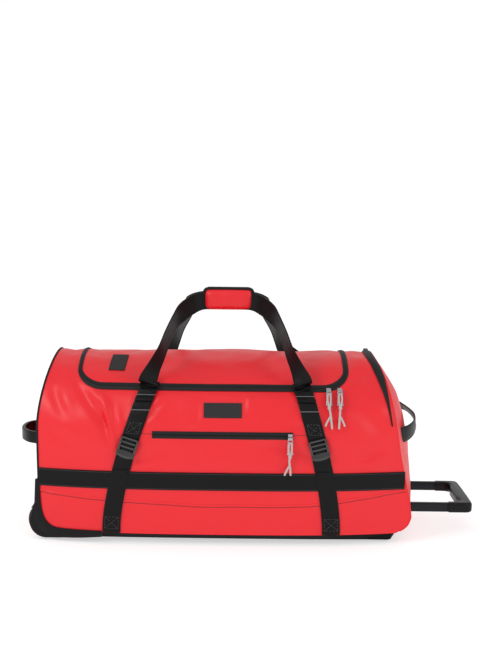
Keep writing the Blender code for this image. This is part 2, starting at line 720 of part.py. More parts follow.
def extrude_outline(bm, outline, low_y, high_y):
    """Add a solid to a bmesh: a side-view outline in (x, z), run between two depths."""
    face = bm.faces.new([bm.verts.new((x, low_y, z)) for x, z in outline])
    made = bmesh.ops.extrude_face_region(bm, geom=[face])["geom"]
    moved = [v for v in made if isinstance(v, bmesh.types.BMVert)]
    bmesh.ops.translate(bm, verts=moved, vec=(0, high_y - low_y, 0))
    bmesh.ops.recalc_face_normals(bm, faces=bm.faces)


def build_wheels():
    for name, side in SIDES.items():
        body = bmesh.new()
        low, high = sorted((side * 0.0985, side * 0.1380))
        box(body, (-0.3935, low, 0.0065), (-0.3180, high, HOUSING_TOP))
        low, high = sorted((side * 0.1330, side * 0.1500))
        extrude_outline(body, housing_outline(), low, high)
        housing = add_object(f"wheel_housing_{name}", join_boxes(body), "black_plastic")
        recess = bmesh.new()
        half = WHEEL_W / 2 + 0.0015
        hub = (WHEEL_X, side * WHEEL_Y, WHEEL_R)
        cylinder(recess, (hub[0], hub[1] - half, hub[2]), (hub[0], hub[1] + half, hub[2]),
                 WHEEL_R + 0.0035, 32)
        cut(housing, recess, f"wheel_recess_{name}")
        bore = bmesh.new()
        cylinder(bore, (hub[0], hub[1] - 0.05, hub[2]), (hub[0], hub[1] + 0.05, hub[2]), 0.0045, 16)
        cut(housing, bore, f"axle_bore_{name}")
        build_wheel(name, side)


def ring_part(name, place, outer, inner, width, finish, segments, edge=0.0):
    """A turned ring about the Y axis: a profile with a Screw modifier."""
    half = width / 2
    profile = [(outer, half - edge), (outer, -half + edge), (outer - edge, -half), (inner, -half),
               (inner, half), (outer - edge, half)]
    if not edge:
        profile = [(outer, half), (outer, -half), (inner, -half), (inner, half)]
    bm = bmesh.new()
    verts = [bm.verts.new((r, 0, h)) for r, h in profile]
    for pair in zip(verts, verts[1:] + verts[:1]):
        bm.edges.new(pair)
    thing = add_object(name, bm, finish)
    thing.location = place
    thing.rotation_euler = (math.radians(90), 0, 0)
    screw = thing.modifiers.new("turn", "SCREW")
    screw.steps = segments
    screw.render_steps = segments
    screw.axis = "Z"
    screw.use_merge_vertices = True
    screw.merge_threshold = 0.00001
    return thing


def build_wheel(name, side):
    hub = (WHEEL_X, side * WHEEL_Y, WHEEL_R)
    ring_part(f"tyre_{name}", hub, WHEEL_R, 0.0290, WHEEL_W, "rubber", 40, 0.004)
    ring_part(f"wheel_hub_{name}", hub, 0.0287, 0.0114, WHEEL_W - 0.004, "black_plastic", 32)
    ring_part(f"wheel_bearing_{name}", hub, 0.0111, 0.0044, WHEEL_W - 0.008, "steel", 24)
    pin = bmesh.new()
    head = side * (WHEEL_Y - 0.0210)
    cylinder(pin, (WHEEL_X, head, WHEEL_R), (WHEEL_X, side * (WHEEL_Y + 0.0180), WHEEL_R), 0.0041, 16)
    cylinder(pin, (WHEEL_X, head - side * 0.0020, WHEEL_R), (WHEEL_X, head + side * 0.0002, WHEEL_R),
             0.0070, 16)
    add_object(f"axle_{name}", join_boxes(pin), "steel")


# ---- trolley ----
def channel(name, low, high, wall, finish, origin=(0, 0, 0)):
    """A hollow rectangular tube along X: a box without its ends, with walls inward."""
    bm = bmesh.new()
    box(bm, low, high)
    ends = [f for f in bm.faces if abs(f.normal.x) > 0.5]
    bmesh.ops.delete(bm, geom=ends, context="FACES_ONLY")
    return solidify(add_object(name, bm, finish, origin, smooth=False), wall)


def build_trolley():
    tall, wide = TUBE_TALL / 2, TUBE_WIDE / 2
    for name, side in SIDES.items():
        y = side * TUBE_Y
        guide = channel(f"outer_tube_{name}", (GUIDE_START, y - wide - 0.0023, TUBE_Z - tall - 0.0023),
                        (GUIDE_END, y + wide + 0.0023, TUBE_Z + tall + 0.0023), 0.0018,
                        "black_aluminium")
        holes = bmesh.new()
        for x in (PIN_X - TRAVEL_IN, PIN_X + TRAVEL_OUT):
            cylinder(holes, (x, y + side * 0.004, TUBE_Z), (x, y + side * 0.020, TUBE_Z), 0.0034, 16)
        cut(guide, holes, f"lock_holes_{name}")
        tube = channel(f"inner_tube_{name}", (TUBE_START, y - wide, TUBE_Z - tall),
                       (SOCKET_END - 0.0003, y + wide, TUBE_Z + tall), TUBE_WALL, "black_aluminium")
        hole = bmesh.new()
        cylinder(hole, (PIN_X, y + side * 0.002, TUBE_Z), (PIN_X, y + side * 0.020, TUBE_Z), 0.0033, 16)
        cut(tube, hole, f"pin_hole_{name}")
        box_part(f"push_rod_{name}", (PIN_X + 0.0086, y - 0.002, TUBE_Z - 0.002),
                 (0.5302, y + 0.002, TUBE_Z + 0.002), "steel")
        pin = bmesh.new()
        tip = side * (TUBE_Y + wide + 0.0002)
        cylinder(pin, (PIN_X, side * (TUBE_Y - 0.0012), TUBE_Z), (PIN_X, tip, TUBE_Z), 0.0030, 16)
        add_object(f"lock_pin_{name}", pin, "steel")
    bracket = bmesh.new()
    box(bracket, (GUIDE_START - 0.012, -0.108, 0.0240), (GUIDE_START - 0.0003, 0.108, 0.0790))
    bevel(add_object("tube_bracket", bracket, "black_plastic"), 0.002, 2)
    collar = bmesh.new()
    box(collar, (GUIDE_END + 0.0003, -0.106, 0.0540), (GUIDE_END + 0.0070, 0.106, 0.0820))
    for side in SIDES.values():
        y = side * TUBE_Y
        box(collar, (GUIDE_END + 0.002, y - 0.0100, TUBE_Z - 0.0140),
            (0.4080, y + 0.0100, TUBE_Z + 0.0140))
    collar = add_object("tube_collar", join_boxes(collar), "black_plastic")
    bores = bmesh.new()
    for side in SIDES.values():
        y = side * TUBE_Y
        box(bores, (0.30, y - wide - 0.0004, TUBE_Z - tall - 0.0004),
            (0.45, y + wide + 0.0004, TUBE_Z + tall + 0.0004))
    cut(collar, bores, "collar_bores")
    build_grip(tall, wide)


def build_grip(tall, wide):
    """The moulded U grip, with the button in its outer face and the bar that pushes the rods."""
    outline = [(GRIP_START, -0.1015), (0.5320, -0.1010), (0.5400, -0.0965), (0.5430, -0.0880),
               (GRIP_END, -0.0400)]
    outline += [(x, -y) for x, y in reversed(outline)]
    outline += [(GRIP_START, 0.0785), (0.5015, 0.0770), (0.5120, 0.0710), (0.5160, 0.0620),
                (0.5165, 0.0250)]
    outline += [(x, -y) for x, y in reversed(outline[-5:])]
    bm = bmesh.new()
    face = bm.faces.new([bm.verts.new((x, y, TUBE_Z - 0.0125)) for x, y in outline])
    made = bmesh.ops.extrude_face_region(bm, geom=[face])["geom"]
    bmesh.ops.translate(bm, verts=[v for v in made if isinstance(v, bmesh.types.BMVert)],
                        vec=(0, 0, 0.025))
    bmesh.ops.recalc_face_normals(bm, faces=bm.faces)
    grip = bevel(add_object("trolley_grip", bm, "black_plastic"), 0.002, 2)
    sockets = bmesh.new()
    for side in SIDES.values():
        y = side * TUBE_Y
        box(sockets, (0.460, y - wide - 0.0003, TUBE_Z - tall - 0.0003),
            (SOCKET_END, y + wide + 0.0003, TUBE_Z + tall + 0.0003))
    cut(grip, sockets, "tube_sockets")
    slot = bmesh.new()
    box(slot, (0.5190, -0.0945, TUBE_Z - 0.0045), (0.5386, 0.0945, TUBE_Z + 0.0045))
    cut(grip, slot, "bar_slot")
    window = bmesh.new()
    box(window, (0.5315, -0.0165, TUBE_Z - 0.0060), (0.560, 0.0165, TUBE_Z + 0.0060))
    cut(grip, window, "button_window")
    button = bmesh.new()
    box(button, (0.5305, -0.0940, TUBE_Z - 0.0040), (0.5380, 0.0940, TUBE_Z + 0.0040))
    box(button, (0.5370, -0.0160, TUBE_Z - 0.0055), (0.5450, 0.0160, TUBE_Z + 0.0055))
    add_object("grip_button", join_boxes(button), "black_plastic")
    build_spring()


def build_spring():
    """Return spring of the button: a short coil along X between the slot's wall and the bar."""
    turns, radius, start, end = 3, 0.0030, 0.5200, 0.5294
    per_turn = 8
    route = []
    for i in range(turns * per_turn + 1):
        angle = math.tau * i / per_turn
        x = start + (end - start) * i / (turns * per_turn)
        route.append(Vector((x, radius * math.cos(angle), TUBE_Z + radius * math.sin(angle))))
    tube_part("button_spring", route, 0.0004, "steel", 0)


build_panels()
build_ends()
build_zips()
build_sliders()
build_webbing()
build_buckles()
build_handles()
build_end_handles()
build_base()
build_wheels()
build_trolley()
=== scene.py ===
"""Rolling duffel bag: coated fabric, webbing, zips, mouldings and trolley over the working frame.

Lengths are in metres. The bag's own coordinates run along X from the wheels to the trolley, with the
front facing -Y; SHIFT moves a finished piece from them into the frame.
"""
import bisect
import math

import bmesh
import bpy
from bpy.props import FloatProperty, FloatVectorProperty, PointerProperty
from mathutils import Matrix, Vector, noise


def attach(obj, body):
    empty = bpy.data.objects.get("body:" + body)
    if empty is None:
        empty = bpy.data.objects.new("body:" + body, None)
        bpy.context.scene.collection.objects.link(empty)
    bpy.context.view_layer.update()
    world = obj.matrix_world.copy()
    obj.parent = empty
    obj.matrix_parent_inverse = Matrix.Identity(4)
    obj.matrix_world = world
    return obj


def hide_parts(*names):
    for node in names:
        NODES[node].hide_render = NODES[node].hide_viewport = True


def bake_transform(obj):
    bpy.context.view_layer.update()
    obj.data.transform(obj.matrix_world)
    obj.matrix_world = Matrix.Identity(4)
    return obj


bl_info = {
    "name": "Rolling Duffel Bag",
    "version": (1, 0, 0),
    "blender": (4, 5, 0),
    "location": "View3D > Sidebar > Duffel",
    "description": "Builds the fabric, webbing, zips, mouldings and studio of a wheeled duffel bag",
    "category": "Object",
}

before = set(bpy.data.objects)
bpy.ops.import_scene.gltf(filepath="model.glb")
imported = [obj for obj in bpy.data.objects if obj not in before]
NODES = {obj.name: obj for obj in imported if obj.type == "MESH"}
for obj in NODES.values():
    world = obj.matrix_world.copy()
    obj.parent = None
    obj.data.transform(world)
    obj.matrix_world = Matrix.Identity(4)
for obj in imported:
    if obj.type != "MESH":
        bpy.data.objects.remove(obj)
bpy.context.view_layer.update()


def linear(code):
    """Linear RGBA of an sRGB hex colour."""
    channels = [int(code[i:i + 2], 16) / 255.0 for i in (0, 2, 4)]
    return (*[c / 12.92 if c <= 0.04045 else ((c + 0.055) / 1.055) ** 2.4 for c in channels], 1.0)


# ---- the body's outer surface, as in the working model ----
SHIFT = Vector((-0.0525, 0.0, 0.0))
CREST_Z, SKIRT_Z, BELLY_Z = 0.388, 0.0245, 0.220
END_HALF_DEPTH, BELLY_BULGE, BASE_TUCK = 0.155, 0.030, 0.012
SHOULDER_POWER, HALF_LENGTH = 2.2, 0.380
WEBBING = 0.038
LID_LEFT, LID_RIGHT, LID_CORNER = -0.296, 0.260, 0.050
LID_FRONT_Z, HINGE_Z, ZIP_HALF = 0.332, 0.361, 0.0084
POCKET_Z, POCKET_LEFT, POCKET_RIGHT = 0.240, -0.140, 0.149
STRAP_TOP_Z = 0.3026
STRAPS = {"left": (-0.227, -0.160), "right": (0.233, 0.178)}
HANDLE_MID = 0.009
BAND_Z = 0.1420
WHEEL_X, WHEEL_Y, WHEEL_R, WHEEL_W = -0.3685, 0.119, 0.040, 0.024
TUBE_Y, TUBE_Z, TUBE_START, GRIP_START, GRIP_END = 0.090, 0.068, 0.030, 0.4895, 0.544
SIDES = {"near": -1, "far": 1}


def half_depth(x):
    return END_HALF_DEPTH + BELLY_BULGE * (1.0 - min(abs(x) / HALF_LENGTH, 1.0) ** 3)


def section(x, turn):
    """Point of the half section at x: turn 0 is the crest, 1 the belly, 2 the lower edge."""
    depth = half_depth(x)
    if turn <= 1.0:
        angle = math.radians(90.0 * (1.0 - turn))
        rise = math.sin(angle) ** (2.0 / SHOULDER_POWER)
        return depth * math.cos(angle) ** (2.0 / SHOULDER_POWER), BELLY_Z + (CREST_Z - BELLY_Z) * rise
    drop = turn - 1.0
    return depth - BASE_TUCK * drop ** 2, BELLY_Z - (BELLY_Z - SKIRT_Z) * drop


def measure_girth(steps=400):
    """Arc lengths from the crest, with the turn and the height at each."""
    lengths, turns, heights = [0.0], [0.0], [CREST_Z]
    last = Vector(section(HALF_LENGTH / 2, 0.0))
    for i in range(1, steps + 1):
        here = Vector(section(HALF_LENGTH / 2, 2.0 * i / steps))
        lengths.append(lengths[-1] + (here - last).length)
        turns.append(2.0 * i / steps)
        heights.append(here.y)
        last = here
    return lengths, turns, heights


LENGTHS, TURNS, HEIGHTS = measure_girth()
DROPS = [-h for h in HEIGHTS]
HALF_GIRTH = LENGTHS[-1]


def look_up(value, known, wanted):
    """Linear interpolation in a rising table."""
    i = min(max(bisect.bisect_right(known, value), 1), len(known) - 1)
    share = (value - known[i - 1]) / (known[i] - known[i - 1])
    return wanted[i - 1] + (wanted[i] - wanted[i - 1]) * min(max(share, 0.0), 1.0)


def skin_z(girth):
    return look_up(abs(girth), LENGTHS, HEIGHTS)


def girth_at(z):
    """Arc length from the crest down to a height."""
    return look_up(-z, DROPS, LENGTHS)


def on_skin(x, girth):
    """Point of the plain outer surface: girth is negative on the front and positive on the rear."""
    y, z = section(x, look_up(abs(girth), LENGTHS, TURNS))
    return Vector((x, math.copysign(y, girth), z))


def skin_normal(x, girth):
    step = 0.002
    inside = max(min(girth, HALF_GIRTH - step), step - HALF_GIRTH)
    along_x = on_skin(x + step, inside) - on_skin(x - step, inside)
    along_girth = on_skin(x, inside + step) - on_skin(x, inside - step)
    return along_x.cross(along_girth).normalized()


def left_edge(z):
    lean = 0.027 * max(0.0, (z - 0.25) / (CREST_Z - 0.25)) ** 1.5
    corner = 0.020 * max(0.0, (0.085 - z) / (0.085 - SKIRT_Z)) ** 2.5
    return -HALF_LENGTH + lean + corner


# Where the front and rear meet the top end: height and distance along the bag
END_HEIGHTS = [0.0245, 0.030, 0.036, 0.045, 0.060, 0.100, 0.150, 0.200, 0.250, 0.285, 0.320, 0.350,
               0.372, 0.388]
END_PLACES = [0.3720, 0.3840, 0.3920, 0.3985, 0.4030, 0.3970, 0.3850, 0.3740, 0.3655, 0.3590, 0.3510,
              0.3420, 0.3330, 0.3235]


def right_edge(z):
    return look_up(z, END_HEIGHTS, END_PLACES)


def body_left(girth):
    return left_edge(skin_z(girth))


def body_right(girth):
    return right_edge(skin_z(girth))


FRONT_RUN = -girth_at(LID_FRONT_Z)
HINGE = girth_at(HINGE_Z)
HINGE_BACK = HINGE + 0.020           # the lid's fabric is sewn on this far behind its hinge line
HINGE_Y = on_skin(0.0, HINGE).y


def strap_centre(side, z):
    base, top = STRAPS[side]
    return base + (top - base) * max(0.0, (z - 0.034) / 0.266) ** 1.5


# Creases of the front panel: start and end in (x, z), depth and half width
CREASES = [
    ((-0.296, 0.338), (-0.236, 0.252), 0.0078, 0.010),
    ((-0.352, 0.326), (-0.322, 0.270), 0.0044, 0.010),
    ((-0.256, 0.312), (-0.229, 0.222), 0.0051, 0.0075),
    ((-0.2235, 0.290), (-0.213, 0.230), 0.0037, 0.006),
    ((-0.366, 0.250), (-0.300, 0.205), 0.0027, 0.014),
    ((0.344, 0.208), (0.284, 0.191), 0.0041, 0.009),
    ((0.356, 0.165), (0.290, 0.129), 0.0037, 0.010),
    ((0.262, 0.342), (0.310, 0.366), 0.0037, 0.009),
    ((0.262, 0.318), (0.330, 0.250), 0.0031, 0.016),
    ((-0.132, 0.322), (-0.158, 0.296), 0.0051, 0.006),
    ((-0.128, 0.300), (-0.166, 0.262), 0.0044, 0.007),
    ((0.154, 0.300), (0.186, 0.268), 0.0044, 0.007),
    ((0.150, 0.262), (0.196, 0.246), 0.0034, 0.006),
    ((0.110, 0.222), (0.196, 0.196), 0.0031, 0.010),
    ((-0.120, 0.205), (-0.190, 0.180), 0.0027, 0.010),
]


def crease(x, z, start, end, depth, width):
    """A valley with a ridge beside it, fading out at both ends."""
    run = Vector((end[0] - start[0], end[1] - start[1]))
    offset = Vector((x - start[0], z - start[1]))
    share = offset.dot(run) / run.length_squared
    if not -0.25 < share < 1.25:
        return 0.0
    away = (run.x * offset.y - run.y * offset.x) / run.length
    if abs(away) > 5.0 * width:
        return 0.0
    fade = math.sin(math.pi * (share + 0.25) / 1.5) ** 1.5
    valley = math.exp(-(away / width) ** 2)
    ridge = math.exp(-((away - 1.8 * width) / (1.2 * width)) ** 2)
    return depth * fade * (0.6 * ridge - valley)


def ease(value, low, high):
    """0 below low, 1 above high, smooth between."""
    share = min(max((value - low) / (high - low), 0.0), 1.0)
    return share * share * (3.0 - 2.0 * share)


def lid_gap(x, girth):
    """Distance in (x, girth) from the lid zip's centre line."""
    if girth > HINGE_BACK:
        return girth - HINGE_BACK
    reach_x = max(LID_LEFT + LID_CORNER - x, x - LID_RIGHT + LID_CORNER)
    reach_g = FRONT_RUN + LID_CORNER - girth
    if reach_x > 0 and reach_g > 0:
        return abs(math.hypot(reach_x, reach_g) - LID_CORNER)
    return abs(max(reach_x, reach_g) - LID_CORNER)


def slack(x, girth):
    """How far the fabric stands out from, or sinks below, the plain surface."""
    z = skin_z(girth)
    soft = noise.noise(Vector((x * 8.0, girth * 9.0, 3.1))) * 0.0060
    soft += noise.noise(Vector((x * 21.0, girth * 24.0, 9.7))) * 0.0024
    if girth < 0.0:
        soft += sum(crease(x, z, *fold) for fold in CREASES)
    else:
        soft += sum(crease(-x * 0.97, z, *fold) for fold in CREASES[:9])
    edge = min(x - body_left(girth), body_right(girth) - x)
    calm = ease(edge, 0.002, 0.030)
    calm *= 0.15 + 0.85 * ease(lid_gap(x, girth), 0.006, 0.026)
    calm *= 0.10 + 0.90 * ease(abs(z - BAND_Z), 0.019, 0.034)
    calm *= ease(HALF_GIRTH - abs(girth), 0.0, 0.030)
    for side in STRAPS:
        calm *= 0.12 + 0.88 * ease(abs(x - strap_centre(side, z)), 0.017, 0.030) if z < 0.335 else 1.0
    if girth < 0.0 and POCKET_LEFT - 0.05 < x < POCKET_RIGHT + 0.05:
        calm *= 0.25 + 0.75 * ease(abs(z - POCKET_Z), 0.006, 0.022)
        if -0.045 < x < 0.054:
            calm *= 0.2 + 0.8 * ease(abs(z - 0.2896), 0.014, 0.030)
    return soft * calm


def skin(x, girth, lift=0.0):
    """Point a given height above the fabric's surface, folds included."""
    return on_skin(x, girth) + skin_normal(x, girth) * (lift + slack(x, girth))


def spread(start, end, count):
    return [start + (end - start) * i / count for i in range(count + 1)]


def smooth_route(points, steps):
    """Points of a smooth curve through the given ones (Catmull-Rom), steps to each stretch."""
    points = [Vector(p) for p in points]
    padded = [points[0] * 2 - points[1]] + points + [points[-1] * 2 - points[-2]]
    route = []
    for a, b, c, d in zip(padded, padded[1:], padded[2:], padded[3:]):
        for i in range(steps):
            t = i / steps
            route.append(0.5 * (2 * b + (c - a) * t + (2 * a - 5 * b + 4 * c - d) * t * t
                                + (3 * b - a - 3 * c + d) * t ** 3))
    return route + [points[-1]]


# ---- finishes ----
def add_node(tree, kind, sockets=None, links=(), **settings):
    """Add a node with its settings, socket values and incoming links (from socket, to name)."""
    node = tree.nodes.new(kind)
    for key, value in settings.items():
        setattr(node, key, value)
    for key, value in (sockets or {}).items():
        node.inputs[key].default_value = value
    for source, target in links:
        tree.links.new(source, node.inputs[target])
    return node


def new_finish(name, colour, roughness, metallic=0.0, **sockets):
    """A material with its constants set on the shader, and its node tree."""
    material = bpy.data.materials.new(name)
    material.use_nodes = True
    shader = material.node_tree.nodes["Principled BSDF"]
    shader.inputs["Base Color"].default_value = colour
    shader.inputs["Roughness"].default_value = roughness
    shader.inputs["Metallic"].default_value = metallic
    for key, value in sockets.items():
        shader.inputs[key.replace("_", " ")].default_value = value
    return material, material.node_tree, shader


def wave_scale(period_mm):
    """Scale of a band Wave texture whose bands repeat at this real spacing."""
    return (math.tau / 20.0) / (period_mm / 1000.0)


def noise_scale(grain_mm):
    """Scale of a Noise texture whose blotches are this far apart."""
    return 1000.0 / grain_mm


def add_bump(tree, shader, height, strength, distance, below=None):
    links = [(height, "Height")] + ([(below.outputs["Normal"], "Normal")] if below else [])
    bump = add_node(tree, "ShaderNodeBump", {"Strength": strength, "Distance": distance}, links)
    tree.links.new(bump.outputs["Normal"], shader.inputs["Normal"])
    return bump


def tarpaulin(colours):
    """PVC-coated polyester: a smooth film with a broad soft gloss over faint ripples of the cloth."""
    material, tree, shader = new_finish("tarpaulin_pvc_coated", colours.tarpaulin, 0.40, IOR=1.5,
                                          Specular_IOR_Level=0.42)
    place = add_node(tree, "ShaderNodeTexCoord")
    ripple = add_node(tree, "ShaderNodeTexNoise", {"Scale": noise_scale(26), "Detail": 3.0},
                      [(place.outputs["Object"], "Vector")])
    first = add_bump(tree, shader, ripple.outputs["Fac"], 0.35, 0.0016)
    grain = add_node(tree, "ShaderNodeTexNoise", {"Scale": noise_scale(1.6), "Detail": 2.0},
                     [(place.outputs["Object"], "Vector")])
    add_bump(tree, shader, grain.outputs["Fac"], 0.10, 0.0001, first)
    blotch = add_node(tree, "ShaderNodeMapRange", {"To Min": 0.36, "To Max": 0.48},
                      [(ripple.outputs["Fac"], "Value")])
    tree.links.new(blotch.outputs["Result"], shader.inputs["Roughness"])
    return material


def seam_shade(colours):
    """The turned-in edge of a sewn seam: the same film darkened to 0.42 of its colour, as painted shade of
    its own groove.
    """
    return new_finish("tarpaulin_seam_painted_shade", tuple(c * 0.42 for c in colours.tarpaulin[:3]) + (1.0,), 0.6)[0]


def webbing(colours):
    """Woven polyamide webbing: lengthwise ribs crossed by the weft, with a low sheen."""
    material, tree, shader = new_finish("webbing_polyamide", colours.webbing, 0.40, IOR=1.53,
                                          Specular_IOR_Level=0.14)
    uv = add_node(tree, "ShaderNodeUVMap", uv_map="metres")
    # real ribs are about 1 mm apart; drawn at 2.4 mm so that they show
    ribs = add_node(tree, "ShaderNodeTexWave", {"Scale": wave_scale(2.4)},
                    [(uv.outputs["UV"], "Vector")], bands_direction="X")
    weft = add_node(tree, "ShaderNodeTexWave", {"Scale": wave_scale(1.8)},
                    [(uv.outputs["UV"], "Vector")], bands_direction="Y")
    weave = add_node(tree, "ShaderNodeMath", {}, [(ribs.outputs["Fac"], 0), (weft.outputs["Fac"], 1)],
                     operation="ADD")
    first = add_bump(tree, shader, weave.outputs["Value"], 0.35, 0.0003)
    worn = add_node(tree, "ShaderNodeTexNoise", {"Scale": noise_scale(14), "Detail": 2.0},
                    [(uv.outputs["UV"], "Vector")])
    add_bump(tree, shader, worn.outputs["Fac"], 0.25, 0.0010, first)
    return material


def zip_cloth(colours):
    """Polyurethane-faced zip tape: matte, with the coil's faint ribs across it."""
    material, tree, shader = new_finish("zip_tape_polyurethane", colours.zip_tape, 0.58,
                                        Specular_IOR_Level=0.25)
    uv = add_node(tree, "ShaderNodeUVMap", uv_map="metres")
    coil = add_node(tree, "ShaderNodeTexWave", {"Scale": wave_scale(2.0)},
                    [(uv.outputs["UV"], "Vector")], bands_direction="Y")
    add_bump(tree, shader, coil.outputs["Fac"], 0.12, 0.0002)
    return material


def binding(colours):
    """Grosgrain binding tape, folded over a raw edge."""
    material, tree, shader = new_finish("binding_grosgrain", colours.zip_tape, 0.70,
                                        Specular_IOR_Level=0.25)
    place = add_node(tree, "ShaderNodeTexCoord")
    weave = add_node(tree, "ShaderNodeTexNoise", {"Scale": noise_scale(2.0)},
                     [(place.outputs["Object"], "Vector")])
    add_bump(tree, shader, weave.outputs["Fac"], 0.3, 0.0003)
    return material


def moulding(colours):
    """Moulded polypropylene with a light spark-eroded grain and a soft gloss."""
    material, tree, shader = new_finish("polypropylene_moulded", colours.moulding, 0.34, IOR=1.49,
                                          Specular_IOR_Level=0.20)
    place = add_node(tree, "ShaderNodeTexCoord")
    grain = add_node(tree, "ShaderNodeTexNoise", {"Scale": noise_scale(1.4), "Detail": 2.0},
                     [(place.outputs["Object"], "Vector")])
    add_bump(tree, shader, grain.outputs["Fac"], 0.12, 0.0002)
    return material


def buckle_plastic(colours):
    """Polished acetal: glossier than the base mouldings."""
    return new_finish("acetal_polished", colours.moulding, 0.18, IOR=1.48, Specular_IOR_Level=0.9)[0]


def aluminium(colours):
    """Black anodised aluminium tube with the fine drawing lines of its extrusion along it."""
    material, tree, shader = new_finish("aluminium_anodised", linear("2C2C2F"), 0.34, 1.0)
    place = add_node(tree, "ShaderNodeTexCoord")
    turned = add_node(tree, "ShaderNodeMapping", {"Scale": (0.02, 1.0, 1.0)},
                      [(place.outputs["Object"], "Vector")])
    lines = add_node(tree, "ShaderNodeTexNoise", {"Scale": noise_scale(0.8)},
                     [(turned.outputs["Vector"], "Vector")])
    add_bump(tree, shader, lines.outputs["Fac"], 0.08, 0.0001)
    return material


def rubber(colours):
    """Thermoplastic rubber tyre, matte and slightly dusty."""
    material, tree, shader = new_finish("rubber_tyre", linear("2A2B28"), 0.72)
    place = add_node(tree, "ShaderNodeTexCoord")
    grit = add_node(tree, "ShaderNodeTexNoise", {"Scale": noise_scale(2.5), "Detail": 4.0},
                    [(place.outputs["Object"], "Vector")])
    add_bump(tree, shader, grit.outputs["Fac"], 0.25, 0.0003)
    return material


def nickel(colours):
    """Nickel-plated zinc casting, bright with slightly softened edges."""
    material, tree, shader = new_finish("nickel_plated_zinc", colours.metal, 0.24, 1.0)
    place = add_node(tree, "ShaderNodeTexCoord")
    haze = add_node(tree, "ShaderNodeTexNoise", {"Scale": noise_scale(3.0)},
                    [(place.outputs["Object"], "Vector")])
    add_bump(tree, shader, haze.outputs["Fac"], 0.08, 0.0002)
    return material


def steel(colours):
    """Plain turned steel with the faint lines of the lathe."""
    material, tree, shader = new_finish("steel_turned", linear("B4B4B6"), 0.32, 1.0)
    place = add_node(tree, "ShaderNodeTexCoord")
    lathe = add_node(tree, "ShaderNodeTexWave", {"Scale": wave_scale(0.8)},
                     [(place.outputs["Object"], "Vector")], bands_direction="X")
    add_bump(tree, shader, lathe.outputs["Fac"], 0.08, 0.0001)
    return material


def braid(colours):
    """Braided polyester cord: strands crossing on the slant."""
    material, tree, shader = new_finish("cord_braided_polyester", colours.cord, 0.80)
    place = add_node(tree, "ShaderNodeTexCoord")
    slant = add_node(tree, "ShaderNodeTexWave", {"Scale": wave_scale(2.2)},
                     [(place.outputs["Object"], "Vector")], bands_direction="DIAGONAL")
    add_bump(tree, shader, slant.outputs["Fac"], 0.6, 0.0005)
    return material


def lining(colours):
    """Polyester lining cloth, dull grey, in a plain weave."""
    material, tree, shader = new_finish("lining_polyester", linear("55565A"), 0.85)
    uv = add_node(tree, "ShaderNodeUVMap", uv_map="metres")
    weave = add_node(tree, "ShaderNodeTexWave", {"Scale": wave_scale(3.0)},
                     [(uv.outputs["UV"], "Vector")], bands_direction="DIAGONAL")
    add_bump(tree, shader, weave.outputs["Fac"], 0.2, 0.0003)
    return material


def label_cloth(colours):
    """Rubberised label: matte charcoal with a fine grain."""
    material, tree, shader = new_finish("label_rubberised", linear("2A2728"), 0.66, Specular_IOR_Level=0.25)
    place = add_node(tree, "ShaderNodeTexCoord")
    grain = add_node(tree, "ShaderNodeTexNoise", {"Scale": noise_scale(1.8)},
                     [(place.outputs["Object"], "Vector")])
    add_bump(tree, shader, grain.outputs["Fac"], 0.2, 0.0002)
    return material


def black_painted_shade(colours):
    """The base's black polypropylene, made near-black with little gloss as painted shade so that it stays
    dark under the floor's glow; also the painted shade of the pocket zip's slit.
    """
    return new_finish("polypropylene_black_painted_shade", linear("050505"), 0.8, Specular_IOR_Level=0.1)[0]


def fold_highlight(colours):
    """The webbing's folded edge, coloured pale grey as a painted highlight of the light it catches."""
    return new_finish("webbing_fold_painted_highlight", linear("5E5E60"), 0.35)[0]


def thread(colours):
    """Bonded sewing thread, black with a slight sheen."""
    return new_finish("thread_bonded_black", linear("3A3839"), 0.55)[0]


def board(colours):
    """Black fibreboard stiffener."""
    return new_finish("fibreboard_black", linear("3A3A3A"), 0.8)[0]


FINISHES = {
    "tarpaulin": tarpaulin, "seam_shade": seam_shade, "webbing": webbing, "zip_cloth": zip_cloth,
    "binding": binding, "moulding": moulding, "buckle_plastic": buckle_plastic,
    "aluminium": aluminium, "rubber": rubber, "nickel": nickel, "steel": steel, "braid": braid,
    "lining": lining, "label_cloth": label_cloth, "thread": thread, "board": board,
    "black_painted_shade": black_painted_shade, "fold_highlight": fold_highlight,
}
READY = {}


def finish(name):
    if name not in READY:
        READY[name] = FINISHES[name](bpy.context.scene.duffel_colours)
    return READY[name]


# ---- making pieces ----
def bake(thing):
    """Turn a piece and its modifiers into one plain mesh."""
    bpy.context.view_layer.update()
    graph = bpy.context.evaluated_depsgraph_get()
    mesh = bpy.data.meshes.new_from_object(thing.evaluated_get(graph))
    thing.modifiers.clear()
    thing.data = mesh


